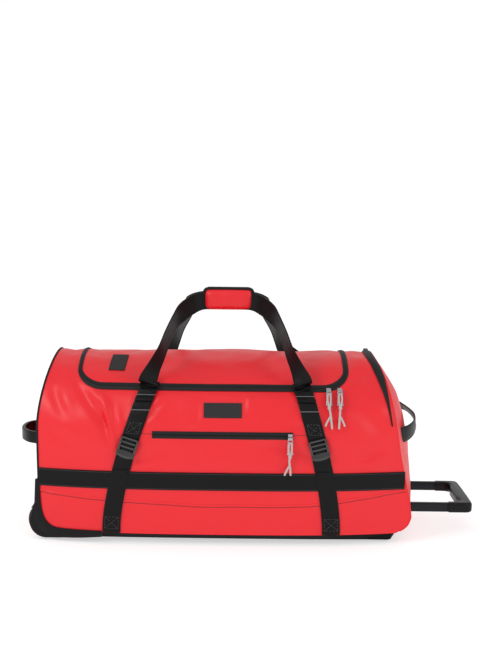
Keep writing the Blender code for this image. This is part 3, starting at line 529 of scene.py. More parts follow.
def make_piece(name, bm, finishes, body, stands_for=(), wall=0.0, offset=-1.0, rounding=0.0,
               segments=3, smooth=0, angle=40, cutters=()):
    """Move a bmesh from bag coordinates into the frame and make it a finished piece of a body."""
    bmesh.ops.translate(bm, verts=bm.verts, vec=SHIFT)
    mesh = bpy.data.meshes.new(name)
    bm.to_mesh(mesh)
    bm.free()
    thing = bpy.data.objects.new(name, mesh)
    bpy.context.scene.collection.objects.link(thing)
    for entry in finishes:
        mesh.materials.append(finish(entry))
    if wall:
        solid = thing.modifiers.new("wall", "SOLIDIFY")
        solid.thickness = wall
        solid.offset = offset
        solid.use_even_offset = True
        solid.material_offset = len(finishes) - 1
    for cutter in cutters:
        cut = thing.modifiers.new("opening", "BOOLEAN")
        cut.object = cutter
        cut.solver = "EXACT"
    if rounding:
        bevel = thing.modifiers.new("rounding", "BEVEL")
        bevel.width = rounding
        bevel.segments = segments
        bevel.limit_method = "ANGLE"
        bevel.angle_limit = math.radians(35)
    if smooth:
        subdivide = thing.modifiers.new("smooth", "SUBSURF")
        subdivide.levels = smooth
        subdivide.render_levels = smooth
    bake(thing)
    for cutter in cutters:
        bpy.data.objects.remove(cutter, do_unlink=True)
    thing.data.shade_smooth()
    thing.data.set_sharp_from_angle(angle=math.radians(angle))
    if stands_for:
        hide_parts(*stands_for)
    if body:
        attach(thing, body)
    return thing


def mapped_grid(columns, rows, place, width, length):
    """A grid put where place(u, v) says, u and v running from 0 to 1, with a UV map in metres."""
    bm = bmesh.new()
    bmesh.ops.create_grid(bm, x_segments=columns, y_segments=rows, size=0.5)
    layer = bm.loops.layers.uv.new("metres")
    for face in bm.faces:
        for loop in face.loops:
            spot = loop.vert.co
            loop[layer].uv = ((spot.x + 0.5) * width, (spot.y + 0.5) * length)
    for vert in bm.verts:
        vert.co = place(min(max(vert.co.x + 0.5, 0.0), 1.0), min(max(vert.co.y + 0.5, 0.0), 1.0))
    return bm


def face_outwards(bm, facing):
    """Turn every face over if the sheet, on the whole, looks away from facing(centre)."""
    bm.normal_update()
    if sum(f.normal.dot(facing(f.calc_center_median())) * f.calc_area() for f in bm.faces) < 0:
        bmesh.ops.reverse_faces(bm, faces=bm.faces)
    return bm


def from_axis(point):
    """Direction out of the bag's long axis at a point."""
    return Vector((0.0, point.y, point.z - 0.19))


def path_strip(path, low, high, columns, lift):
    """A strip on the skin between two distances from a path of (place in (x, girth), away)."""
    count = len(path) - 1
    total = sum((b[0] - a[0]).length for a, b in zip(path, path[1:]))

    def place(u, v):
        centre, away = path[round(v * count)]
        spot = centre + away * (low + (high - low) * u)
        return skin(spot.x, spot.y, lift(u) if callable(lift) else lift)

    return face_outwards(mapped_grid(columns, count, place, high - low, total), from_axis)


def straight_path(start, end, step=0.006):
    """Path in (x, girth) with 'away' to its left."""
    start, end = Vector(start), Vector(end)
    count = max(2, math.ceil((end - start).length / step))
    ahead = (end - start).normalized()
    away = Vector((-ahead.y, ahead.x))
    return [(start.lerp(end, i / count), away) for i in range(count + 1)]


def curve_path(points, steps=8):
    """Path in (x, girth) through several points, with 'away' to its left."""
    route = [p.to_2d() for p in smooth_route([(*p, 0.0) for p in points], steps)]
    path = []
    for i, spot in enumerate(route):
        ahead = (route[min(i + 1, len(route) - 1)] - route[max(i - 1, 0)]).normalized()
        path.append((spot, Vector((-ahead.y, ahead.x))))
    return path


def tube_mesh(route, radius, sides=10, flat=1.0, end_scale=1.0):
    """A closed round bar along a route: rings of a circle carried along it, with capped ends."""
    bm = bmesh.new()
    rings = []
    side = None
    for i, spot in enumerate(route):
        ahead = (route[min(i + 1, len(route) - 1)] - route[max(i - 1, 0)]).normalized()
        if side is None:
            side = ahead.cross(Vector((0, 1, 0)) if abs(ahead.y) < 0.9 else Vector((1, 0, 0))).normalized()
        side = (side - ahead * side.dot(ahead)).normalized()
        up = ahead.cross(side)
        size = radius * (end_scale if i in (0, len(route) - 1) else 1.0)
        turn = Matrix((side * size, up * size * flat, ahead)).transposed().to_4x4()
        made = bmesh.ops.create_circle(bm, segments=sides, radius=1.0,
                                       matrix=Matrix.Translation(spot) @ turn)["verts"]
        rings.append([e for e in {e for v in made for e in v.link_edges}])
    for a, b in zip(rings, rings[1:]):
        bmesh.ops.bridge_loops(bm, edges=a + b)
    bmesh.ops.holes_fill(bm, edges=rings[0] + rings[-1], sides=0)
    bmesh.ops.recalc_face_normals(bm, faces=bm.faces)
    return bm


def box(bm, low, high, turn=None, pivot=None):
    """Add a box between two corners, optionally turned about a pivot."""
    size = Vector(high) - Vector(low)
    place = Matrix.Translation((Vector(high) + Vector(low)) / 2) @ Matrix.Diagonal((*size, 1.0))
    if turn is not None:
        move = Matrix.Translation(pivot)
        place = move @ turn.to_4x4() @ move.inverted() @ place
    return bmesh.ops.create_cube(bm, size=1.0, matrix=place)["verts"]


def box_cutter(low, high):
    bm = bmesh.new()
    box(bm, low, high)
    bmesh.ops.translate(bm, verts=bm.verts, vec=SHIFT)
    mesh = bpy.data.meshes.new("cutter")
    bm.to_mesh(mesh)
    bm.free()
    thing = bpy.data.objects.new("cutter", mesh)
    bpy.context.scene.collection.objects.link(thing)
    return thing


def stitch_row(bm, points, length=0.0034, gap=0.0016, radius=0.00045):
    """Add a row of short thread stitches along a route of 3-D points to a bmesh."""
    rest = 0.0
    for a, b in zip(points, points[1:]):
        run = (b - a).length
        if run < 1e-6:
            continue
        ahead = (b - a) / run
        turn = ahead.to_track_quat("X", "Z").to_matrix().to_4x4()
        while rest + length <= run:
            centre = a + ahead * (rest + length / 2)
            size = Matrix.Diagonal((length, radius * 2, radius * 2, 1.0))
            bmesh.ops.create_cube(bm, size=1.0, matrix=Matrix.Translation(centre) @ turn @ size)
            rest += length + gap
        rest = max(rest - run, 0.0)
    return bm


def repaint(nodes, name):
    """Give working-model pieces whose shape is right their real finish."""
    for node in nodes:
        mesh = NODES[node].data
        mesh.materials.clear()
        mesh.materials.append(finish(name))


# ---- fabric ----
CORNER_STEPS = 10
WELL_IN, WELL_OUT = 0.0965, 0.20      # the wheel wells, measured from the bag's middle


def corner_inset(girth):
    """How far the lid's outline has moved inwards at this girth, round its front corners."""
    drop = min(max(FRONT_RUN + LID_CORNER - girth, 0.0), LID_CORNER)
    return LID_CORNER - math.sqrt(max(LID_CORNER ** 2 - drop ** 2, 0.0))


def lid_rows(margin):
    """Girths of the lid from its front edge to where it is sewn on behind the hinge."""
    turns = [math.radians(90.0 * i / CORNER_STEPS) for i in range(CORNER_STEPS, 0, -1)]
    corner = [FRONT_RUN + LID_CORNER - LID_CORNER * math.sin(a) for a in turns]
    corner[0] += margin
    return corner + spread(FRONT_RUN + LID_CORNER, HINGE_BACK - margin, 58)


class DUFFEL_OT_shell(bpy.types.Operator):
    """Make the coated fabric body, with its lining, and the two bulging ends"""
    bl_idname = "duffel.shell"
    bl_label = "Fabric shell"

    def execute(self, context):
        wall = context.scene.duffel_sizes.fabric_wall
        rows = spread(-HALF_GIRTH, FRONT_RUN, 66)[:-1] + lid_rows(0.0)
        rows += spread(HINGE_BACK, HALF_GIRTH, 66)[1:]
        blocks = (18, 118, 26)
        columns, count = sum(blocks), len(rows) - 1

        def place(u, v):
            girth = rows[round(v * count)]
            inset = corner_inset(girth)
            if girth < FRONT_RUN:
                inset = LID_CORNER
            marks = (body_left(girth), LID_LEFT + inset, LID_RIGHT - inset, body_right(girth))
            column = round(u * columns)
            for i, block in enumerate(blocks):
                if column <= block:
                    x = marks[i] + (marks[i + 1] - marks[i]) * column / block
                    return skin(x, girth)
                column -= block
            raise ValueError("column outside the blocks")

        bm = mapped_grid(columns, count, place, 0.77, 2 * HALF_GIRTH)
        hole = []
        for face in bm.faces:
            u = sum(loop[bm.loops.layers.uv["metres"]].uv.x for loop in face.loops) / 4 / 0.77
            v = sum(loop[bm.loops.layers.uv["metres"]].uv.y for loop in face.loops) / 4 / 2 / HALF_GIRTH
            row = rows[int(v * count)]
            if blocks[0] < u * columns < blocks[0] + blocks[1] and FRONT_RUN - 1e-6 <= row < HINGE_BACK:
                hole.append(face)
        bmesh.ops.delete(bm, geom=hole, context="FACES")
        face_outwards(bm, from_axis)
        make_piece("fabric_body", bm, ("tarpaulin", "lining"), "bag",
                           ("front_panel", "rear_panel", "top_panel_left", "top_panel_right"), wall)
        wheel_wells = [box_cutter((-0.45, min(s * WELL_IN, s * WELL_OUT), 0.0),
                                  (-0.34, max(s * WELL_IN, s * WELL_OUT), 0.092)) for s in SIDES.values()]
        self.make_end("fabric_wheel_end", "wheel_end_panel", left_edge, (-0.384, 0.0, 0.17), (3.0, 3.0),
                      0.0, -1, wheel_wells, wall)
        tube_holes = [box_cutter((0.36, s * TUBE_Y - 0.0105, TUBE_Z - 0.0145),
                                 (0.44, s * TUBE_Y + 0.0105, TUBE_Z + 0.0145)) for s in SIDES.values()]
        self.make_end("fabric_top_end", "top_end_panel", right_edge, (0.4080, 0.0, 0.13), (2.5, 5.0),
                      0.018, 1, tube_holes, wall)
        return {"FINISHED"}

    def make_end(self, name, node, edge, centre, powers, arch, side, cutters, wall):
        """A bulging end: a polar sheet whose rim is the edge of the body, fuller towards its foot."""
        around, bottom, rings = 150, 26, 34
        rim = [on_skin(edge(skin_z(g)), g) for g in spread(-HALF_GIRTH, HALF_GIRTH, around)]
        start, end = rim[-1], rim[0]
        for i in range(1, bottom + 1):
            share = i / bottom
            rim.append(start.lerp(end, share) + Vector((side * arch * 4.0 * share * (1.0 - share), 0, 0)))
        middle, count = Vector(centre), len(rim) - 1

        def place(u, v):
            spot, reach = rim[round(u * count)], 0.004 + 0.996 * v
            low = ease(middle.z - spot.z, -0.04, 0.07)
            fall = reach ** (powers[0] + (powers[1] - powers[0]) * low)
            point = Vector((middle.x + (spot.x - middle.x) * fall, middle.y + (spot.y - middle.y) * reach,
                            middle.z + (spot.z - middle.z) * reach))
            soft = noise.noise(Vector((point.y * 11.0, point.z * 11.0, 5.0 * side))) * 0.0040
            soft += noise.noise(Vector((point.y * 30.0, point.z * 30.0, 2.0 * side))) * 0.0014
            point.x += side * soft * ease(1.0 - reach, 0.0, 0.18)
            return point

        bm = mapped_grid(count, rings, place, 0.9, 0.18)
        bmesh.ops.remove_doubles(bm, verts=bm.verts, dist=1e-5)
        hub = [e for e in bm.edges if e.is_boundary and (e.verts[0].co - middle).length < 0.01]
        bmesh.ops.holes_fill(bm, edges=hub, sides=0)
        face_outwards(bm, lambda p: Vector((side, 0, 0)))
        make_piece(name, bm, ("tarpaulin", "lining"), "bag", (node,), wall,
                   cutters=cutters)


class DUFFEL_OT_lid(bpy.types.Operator):
    """Make the lid's fabric, which bends across the rear shoulder"""
    bl_idname = "duffel.lid"
    bl_label = "Lid"

    def execute(self, context):
        margin = 0.0004
        rows = lid_rows(margin)
        count, columns = len(rows) - 1, 118

        def place(u, v):
            girth = rows[round(v * count)]
            low = LID_LEFT + corner_inset(girth) + margin
            high = LID_RIGHT - corner_inset(girth) - margin
            return skin(low + (high - low) * u, girth)

        bm = face_outwards(mapped_grid(columns, count, place, 0.556, 0.36), from_axis)
        lid = make_piece("fabric_lid", bm, ("tarpaulin", "lining"), None,
                         ("lid_panel",), context.scene.duffel_sizes.fabric_wall)
        bend_at_hinge(lid)
        return {"FINISHED"}


def bend_at_hinge(thing):
    """Bake a piece's placement into its mesh."""
    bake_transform(thing)


# ---- zips ----
LEFT_LEG, RIGHT_LEG = 0.52, 0.68      # share of the tape's width left showing beside the two legs


def zip_path():
    """Centre line of the lid zip in (x, girth), with the direction away from the lid."""
    legs = spread(HINGE, FRONT_RUN + LID_CORNER, 56)
    points = [(Vector((LID_LEFT, g)), Vector((-LEFT_LEG, 0))) for g in legs[:-1]]
    for turn, mid_x in ((180, LID_LEFT + LID_CORNER), (270, LID_RIGHT - LID_CORNER)):
        for i in range(CORNER_STEPS + 1):
            angle = math.radians(turn + 90.0 * i / CORNER_STEPS)
            away = Vector((math.cos(angle), math.sin(angle)))
            leg = LEFT_LEG if turn == 180 else RIGHT_LEG
            share = leg + (1.0 - leg) * ease(-away.y, 0.0, 1.0)
            points.append((Vector((mid_x, FRONT_RUN + LID_CORNER)) + away * LID_CORNER, away * share))
        if turn == 180:
            run = spread(LID_LEFT + LID_CORNER, LID_RIGHT - LID_CORNER, 92)[1:-1]
            points += [(Vector((x, FRONT_RUN)), Vector((0, -1))) for x in run]
    return points + [(Vector((LID_RIGHT, g)), Vector((RIGHT_LEG, 0))) for g in legs[-2::-1]]


class DUFFEL_OT_zips(bpy.types.Operator):
    """Make the tapes of the lid, pocket and end zips, and the piping and seams of the body"""
    bl_idname = "duffel.zips"
    bl_label = "Zips and seams"

    def execute(self, context):
        path = zip_path()
        half, slit = ZIP_HALF, 0.0004
        inner = path_strip(path, -half, -slit, 5, lambda u: 0.0016 + 0.0016 * u)
        tape = make_piece("zip_tape_lid_half", inner, ("zip_cloth",), None,
                          ("lid_zip_tape",), 0.0012)
        bend_at_hinge(tape)
        outer = path_strip(path, slit, half, 5, lambda u: 0.0032 - 0.0016 * u)
        make_piece("zip_tape_body_half", outer, ("zip_cloth",), "bag", ("body_zip_tape",),
                   0.0012)

        girth = -girth_at(POCKET_Z)
        pocket = path_strip(straight_path((POCKET_LEFT, girth), (POCKET_RIGHT, girth)), -0.0075, 0.0075, 6,
                            lambda u: 0.0012 + 0.0012 * math.sin(math.pi * u))
        make_piece("zip_tape_pocket", pocket, ("zip_cloth",), "bag", ("pocket_zip_tape",),
                   0.0010)
        # a thin near-black strip along the pocket zip: painted shade of its slit
        slot = path_strip(straight_path((POCKET_LEFT, girth), (POCKET_RIGHT, girth)), -0.0005, 0.0005, 1,
                          0.0029)
        make_piece("zip_slit_painted_shade_pocket", slot, ("black_painted_shade",), "bag", (), 0.0002)

        reach = girth_at(0.258)

        def taper(u, v):
            width = 0.0180 * (0.15 + 0.85 * ease(min(v, 1.0 - v), 0.0, 0.30))
            g = -reach + 2 * reach * v
            lift = 0.0018 + 0.0024 * math.sin(math.pi * u)
            return skin(body_right(g) - 0.0095 + (u - 0.5) * width, g, lift)

        strip = face_outwards(mapped_grid(6, 90, taper, 0.018, 2 * reach), from_axis)
        make_piece("zip_tape_end", strip, ("zip_cloth",), "bag", ("end_zip_tape",), 0.0016)
        self.make_seams(context.scene.duffel_sizes)
        return {"FINISHED"}

    def make_seams(self, sizes):
        """Piping of the two ends, and the seams of the front and rear."""
        reach = girth_at(0.125)
        edge = [skin(body_left(g) - 0.0006, g, 0.0006) for g in spread(-reach, reach, 150)]
        make_piece("piping_wheel_end", tube_mesh(edge, sizes.piping, 8), ("binding",), "bag")
        reach = HALF_GIRTH - 0.004
        edge = [skin(body_right(g) + 0.0004, g, 0.0) for g in spread(-reach, reach, 190)]
        make_piece("piping_top_end", tube_mesh(edge, sizes.piping * 0.6, 8), ("tarpaulin",), "bag")
        for face, sign in (("front", -1), ("rear", 1)):
            points = [(-0.379, 0.109), (-0.30, 0.101), (-0.20, 0.093), (-0.05, 0.087), (0.10, 0.086),
                      (0.20, 0.090), (0.29, 0.101), (0.391, 0.117)]
            path = curve_path([(x, sign * girth_at(z)) for x, z in points], 14)
            # a thin darker strip: painted shade of the seam's groove
            groove = path_strip(path, -0.0008, 0.0008, 1, 0.0004)
            make_piece(f"seam_low_{face}", groove, ("seam_shade",), "bag", (), 0.0003)
            fold = path_strip(path, 0.0010 if sign < 0 else -0.0065, 0.0065 if sign < 0 else -0.0010, 3,
                              lambda u: 0.0003 + 0.0008 * math.sin(math.pi * u))
            make_piece(f"seam_fold_{face}", fold, ("tarpaulin",), "bag", (), 0.0003)
        for side, end_x in (("left", POCKET_LEFT), ("right", POCKET_RIGHT)):
            z = 0.2425
            path = straight_path((end_x, -girth_at(POCKET_Z + 0.001)),
                                 (strap_centre(side, z), -girth_at(z)))
            # a thin darker strip: painted shade of the pocket's seam
            make_piece(f"seam_pocket_{side}", path_strip(path, -0.0007, 0.0007, 1, 0.0004),
                       ("seam_shade",), "bag", (), 0.0003)


# ---- webbing ----
def strap_lift(z):
    """Height of the strap over the fabric: in pillows between the rows of stitches above the buckle."""
    marks = [0.020, 0.270, 0.282, 0.288, 0.296, 0.303, 0.309, 0.316, 0.3245, 0.333, 0.338]
    lifts = [0.0036, 0.0036, 0.0052, 0.0040, 0.0068, 0.0062, 0.0070, 0.0042, 0.0076, 0.0046, 0.0058]
    return look_up(z, marks, lifts)


def strap_grid(side, sign, top, low, width, lift, columns=8, step=0.004):
    """Webbing on the front or rear, between two heights, along the strap's own slanting line."""
    rows = max(2, round((top - low) / step))

    def place(u, v):
        z = low + (top - low) * v
        edge = abs(u - 0.5) * 2.0
        crown = 0.0006 * (1.0 - edge ** 4)
        x = strap_centre(side, z) + (u - 0.5) * width
        return skin(x, sign * girth_at(z), lift(z) + crown)

    return face_outwards(mapped_grid(columns, rows, place, width, top - low), from_axis)


class DUFFEL_OT_straps(bpy.types.Operator):
    """Make the band round the sides and the four straps with their stitching"""
    bl_idname = "duffel.straps"
    bl_label = "Band and straps"

    def execute(self, context):
        stitches = bmesh.new()
        sizes = context.scene.duffel_sizes
        for face, sign in (("front", -1), ("rear", 1)):
            middle = sign * girth_at(BAND_Z)
            start, run = body_left(middle) + 0.001, body_right(middle) - body_left(middle) - 0.002
            path = [(Vector((start + run * i / 150, middle)), Vector((0, 1))) for i in range(151)]
            band = path_strip(path, -WEBBING / 2, WEBBING / 2, 6, 0.0020)
            make_piece(f"band_{face}", band, ("webbing",), "bag",
                       (f"side_band_{face}",), 0.0016)
            for away in (-0.0165, 0.0165):
                stitch_row(stitches, [skin(p.x, p.y + away, 0.0021) for p, _ in path], sizes.stitch)
            for side in STRAPS:
                strap = strap_grid(side, sign, STRAP_TOP_Z, 0.0262, WEBBING, strap_lift, step=0.002)
                make_piece(f"strap_{face}_{side}", strap, ("webbing",), "bag",
                           (f"{face}_strap_{side}",), 0.0018, rounding=0.0005, segments=2)
                under = strap_grid(side, sign, 0.3100, 0.2970, WEBBING - 0.001, lambda z: 0.0030)
                make_piece(f"strap_turn_{face}_{side}", under, ("webbing",), "bag", (),
                           0.0012)
                root = strap_grid(side, sign, 0.338, STRAP_TOP_Z + 0.0020, WEBBING, strap_lift, step=0.002)
                make_piece(f"handle_root_{face}_{side}", root, ("webbing",), f"{face}_handle",
                           (), 0.0018, rounding=0.0005, segments=2)
                # thin pale bars across the strap's folds: painted highlights on their edges
                for z, body in ((0.3160, f"{face}_handle"), (0.2880, "bag")):
                    x = strap_centre(side, z)
                    ridge = [skin(x + u * WEBBING / 2, sign * girth_at(z), strap_lift(z) + 0.0008)
                             for u in spread(-0.98, 0.98, 12)]
                    make_piece(f"fold_{face}_{side}_{round(z * 1000)}", tube_mesh(ridge, 0.0010, 8),
                               ("fold_highlight",), body)
                self.box_stitch(stitches, side, sign, 0.263, 0.242, strap_lift, 0.012, sizes.stitch)
                self.box_stitch(stitches, side, sign, 0.062, 0.036, strap_lift, 0.014, sizes.stitch)
        make_piece("stitches_webbing", stitches, ("thread",), "bag")
        return {"FINISHED"}

    def box_stitch(self, bm, side, sign, top, low, lift, half, length):
        """A rectangle of stitches with a cross in it."""
        def corner(u, z):
            return skin(strap_centre(side, z) + u * half, sign * girth_at(z), lift(z) + 0.0009)

        for (ua, za), (ub, zb) in (((-1, top), (1, top)), ((1, top), (1, low)), ((1, low), (-1, low)),
                                   ((-1, low), (-1, top)), ((-1, top), (1, low)), ((1, top), (-1, low))):
            route = [corner(ua + (ub - ua) * i / 4, za + (zb - za) * i / 4) for i in range(5)]
            stitch_row(bm, route, length)


BUCKLE_SIZE = 1.10


def narrow_lift(z):
    """The narrow strap lies over the wide one and rises through the buckle."""
    return 0.0052 + 0.0034 * ease(z, 0.182, 0.204) * (1.0 - ease(z, 0.222, 0.232))


class DUFFEL_OT_buckles(bpy.types.Operator):
    """Make the two ladder-lock buckles and the narrow straps that run through them"""
    bl_idname = "duffel.buckles"
    bl_label = "Buckles"

    def execute(self, context):
        for side in STRAPS:
            narrow = strap_grid(side, -1, 0.232, 0.156, 0.026, narrow_lift, 6, 0.003)
            make_piece(f"strap_narrow_{side}", narrow, ("webbing",), "bag", (), 0.0016,
                       rounding=0.0004, segments=2)
            hem = strap_grid(side, -1, 0.166, 0.155, 0.0266, lambda z: 0.0072, 6, 0.003)
            make_piece(f"strap_hem_{side}", hem, ("webbing",), "bag", (), 0.0018,
                       rounding=0.0006, segments=2)
            self.make_buckle(side)
        return {"FINISHED"}

    def make_buckle(self, side):
        z = 0.218
        x = strap_centre(side, z)
        girth = -girth_at(z)
        out = skin_normal(x, girth)
        place = skin(x, girth, 0.0056)
        ahead = (skin(strap_centre(side, z + 0.01), -girth_at(z + 0.01), 0.0056) - place).normalized()
        across = ahead.cross(out).normalized()
        bm = bmesh.new()
        bars = [((-0.0172, 0.0, -0.0150), (-0.0132, 0.0050, 0.0150)),
                ((0.0132, 0.0, -0.0150), (0.0172, 0.0050, 0.0150)),
                ((-0.0150, 0.0005, 0.0115), (0.0150, 0.0045, 0.0150)),
                ((-0.0150, 0.0010, 0.0035), (0.0150, 0.0050, 0.0068)),
                ((-0.0150, 0.0010, -0.0052), (0.0150, 0.0050, -0.0018))]
        for low, high in bars:
            box(bm, low, high)

        def lip_place(u, v):
            fall = 0.0120 * v * (1.0 - 0.30 * (2 * u - 1) ** 2)
            return Vector(((u - 0.5) * 0.0344, 0.0030 + 0.0056 * math.sin(v * 1.9), -0.0100 - fall))

        lip = mapped_grid(12, 6, lip_place, 0.03, 0.01)
        bmesh.ops.solidify(lip, geom=lip.faces[:], thickness=0.0018)
        spare = bpy.data.meshes.new("lip")
        lip.to_mesh(spare)
        lip.free()
        bm.from_mesh(spare)
        turn = Matrix((across * BUCKLE_SIZE, out * BUCKLE_SIZE, ahead * BUCKLE_SIZE)).transposed().to_4x4()
        bmesh.ops.transform(bm, matrix=Matrix.Translation(place) @ turn, verts=bm.verts)
        bmesh.ops.recalc_face_normals(bm, faces=bm.faces)
        make_piece(f"buckle_ladder_{side}", bm, ("buckle_plastic",), "bag",
                   (f"buckle_{side}",), rounding=0.0009, segments=3)


def ribbon(stations, width, steps, columns=8, crown=0.0008):
    """Webbing through stations of (place, across): a sheet whose width follows 'across' as it turns."""
    places = smooth_route([s[0] for s in stations], steps)
    turns = [t.normalized() for t in smooth_route([s[1] for s in stations], steps)]
    count = len(places) - 1
    total = sum((b - a).length for a, b in zip(places, places[1:]))

    def place(u, v):
        i = round(v * count)
        ahead = (places[min(i + 1, count)] - places[max(i - 1, 0)]).normalized()
        across = (turns[i] - ahead * turns[i].dot(ahead)).normalized()
        out = ahead.cross(across)
        return places[i] + across * ((u - 0.5) * width) + out * (crown * (1.0 - (2 * u - 1) ** 4))

    return mapped_grid(columns, count, place, width, total)


REAR_LEG_SHIFT = 0.018      # the rear handle's legs stand this much nearer the middle


def handle_stations(sign):
    """Carry handle from its left root to its right root, with the direction across the webbing."""
    def root(z, lift):
        x = strap_centre("left", z)
        return skin(x, -girth_at(z), lift)

    left = [
        (root(0.3240, 0.0094), (0.950, 0.04, -0.310)),
        (root(0.3320, 0.0092), (0.945, 0.05, -0.320)),
        (Vector((-0.1500, -0.1620, 0.3470)), (0.900, 0.10, -0.42)),
        (Vector((-0.1390, -0.1560, 0.3720)), (0.520, 0.55, -0.65)),
        (Vector((-0.1235, -0.1390, 0.4030)), (0.280, 0.64, -0.72)),
        (Vector((-0.1115, -0.1120, 0.4340)), (0.220, 0.64, -0.74)),
        (Vector((-0.0965, -0.0760, 0.4640)), (0.220, 0.60, -0.77)),
        (Vector((-0.0840, -0.0520, 0.4780)), (0.400, 0.36, -0.84)),
        (Vector((-0.0690, -0.0300, 0.4880)), (0.340, 0.14, -0.93)),
        (Vector((-0.0450, -0.0110, 0.4975)), (0.220, 0.0, -0.97)),
    ]
    if sign > 0:
        inner = [REAR_LEG_SHIFT * ease(p.z, 0.345, 0.375) * (1.0 - ease(p.z, 0.465, 0.490))
                 for p, _ in left]
        left = [(p + Vector((move, 0, 0)), a) for (p, a), move in zip(left, inner)]
    middle = [(Vector((HANDLE_MID, -0.0085, 0.5020)), (0.0, 0.0, -1.0))]
    right = [(Vector((2 * HANDLE_MID - p.x, p.y, p.z)), (-a[0], a[1], a[2])) for p, a in reversed(left)]
    return [(Vector((p.x, -sign * p.y, p.z)), Vector((a[0], -sign * a[1], a[2])))
            for p, a in left + middle + right]


class DUFFEL_OT_handles(bpy.types.Operator):
    """Make the two carry handles and the padded wrap that joins them"""
    bl_idname = "duffel.handles"
    bl_label = "Carry handles"

    def execute(self, context):
        for face, sign in (("front", -1), ("rear", 1)):
            bm = ribbon(handle_stations(sign), WEBBING, 6)
            face_outwards(bm, lambda p, s=sign: Vector((0, s, 0.3)))
            make_piece(f"handle_{face}", bm, ("webbing",), f"{face}_handle",
                       (f"{face}_handle",), 0.0022, 0.0, rounding=0.0005, segments=2)
            self.make_wrap(face, sign)
        return {"FINISHED"}

    def make_wrap(self, face, sign):
        """One padded half of the wrap, with its binding."""
        half, low, tall, corner = 0.0525, 0.4785, 0.0450, 0.010

        def outline(u, v):
            z = low + tall * v
            rise = max(z - (low + tall - corner), 0.0)
            inset = corner - math.sqrt(max(corner ** 2 - rise ** 2, 0.0))
            return HANDLE_MID + 0.003 + (2 * u - 1) * (half - inset), z

        def place(u, v):
            x, z = outline(u, v)
            round_x = (1.0 - abs(2 * u - 1) ** 7) ** 0.5
            round_z = (1.0 - abs(2 * v - 1) ** 4) ** 0.5
            soft = 1.0 + 0.10 * noise.noise(Vector((x * 40, z * 40, sign)))
            return Vector((x, sign * (0.0010 + 0.0155 * round_x * round_z * soft), z))

        bm = mapped_grid(44, 22, place, 2 * half, tall)
        face_outwards(bm, lambda p: Vector((0, sign, 0)))
        node = "grip_wrap" if face == "front" else "grip_wrap_rear"
        wrap = make_piece(f"wrap_{face}", bm, ("tarpaulin",), f"{face}_handle", (node,),
                          0.0022)
        trail = [outline(0.0, v) for v in spread(0.05, 1.0, 24)]
        trail += [outline(1.0, v) for v in spread(1.0, 0.05, 24)]
        route = [Vector((x, sign * 0.0046, z)) for x, z in trail]
        bm = tube_mesh(route, 0.0038, 10, 1.15)
        make_piece(f"wrap_binding_{face}", bm, ("binding",), f"{face}_handle")


class DUFFEL_OT_end_handles(bpy.types.Operator):
    """Make the webbing grab handle at the top end and the moulded one at the wheel end"""
    bl_idname = "duffel.end_handles"
    bl_label = "End handles"

    def execute(self, context):
        stations = [
            ((0.3560, -0.1400, 0.2290), (0.10, 0.02, 1.0)), ((0.3660, -0.1360, 0.2310), (0.10, 0.02, 1.0)),
            ((0.3780, -0.1270, 0.2330), (0.12, 0.02, 1.0)), ((0.3960, -0.1060, 0.2350), (0.12, 0.02, 1.0)),
            ((0.4110, -0.0760, 0.2395), (0.06, 0.00, 1.0)), ((0.4185, -0.0400, 0.2450), (-0.10, 0.00, 1.0)),
            ((0.4190, -0.0040, 0.2500), (-0.40, 0.0, 0.92)), ((0.4140, 0.0340, 0.2550), (-0.62, 0.0, 0.78)),
            ((0.4030, 0.0700, 0.2600), (-0.72, 0.0, 0.70)), ((0.3910, 0.0940, 0.2610), (-0.60, 0.0, 0.7)),
            ((0.3800, 0.1080, 0.2600), (-0.30, 0.1, 0.9)),
        ]
        bm = ribbon([(Vector(p), Vector(a)) for p, a in stations], 0.035, 6)
        face_outwards(bm, lambda p: Vector((1, -0.3, 0)))
        make_piece("grab_handle_top", bm, ("webbing",), "bag", ("top_end_handle",),
                   0.0030, 0.0, rounding=0.0006, segments=2)
        points = [(-0.3880, -0.079, 0.205), (-0.3930, -0.068, 0.205), (-0.4150, -0.056, 0.206),
                  (-0.4310, -0.030, 0.207), (-0.4350, 0.0, 0.207), (-0.4310, 0.030, 0.207),
                  (-0.4150, 0.056, 0.206), (-0.3930, 0.068, 0.205), (-0.3880, 0.079, 0.205)]
        bm = ribbon([(Vector(p), Vector((0, 0, 1))) for p in points], 0.026, 6, 4, 0.0)
        face_outwards(bm, lambda p: Vector((-1, 0, 0)))
        make_piece("grab_handle_wheel", bm, ("moulding",), "bag", ("wheel_end_handle",),
                   0.0072, 0.0, rounding=0.0026, segments=4)
        return {"FINISHED"}


# ---- sliders, pullers and cords ----
PULLER_SLOPE = math.radians(34)
PULLER_LENGTH = 0.036
CORD_RADIUS = 0.0023
END_SLIDER_MOVE = Vector((0.0115, 0.0, -0.0015))      # the end zip's tape bulges out this far at its slider


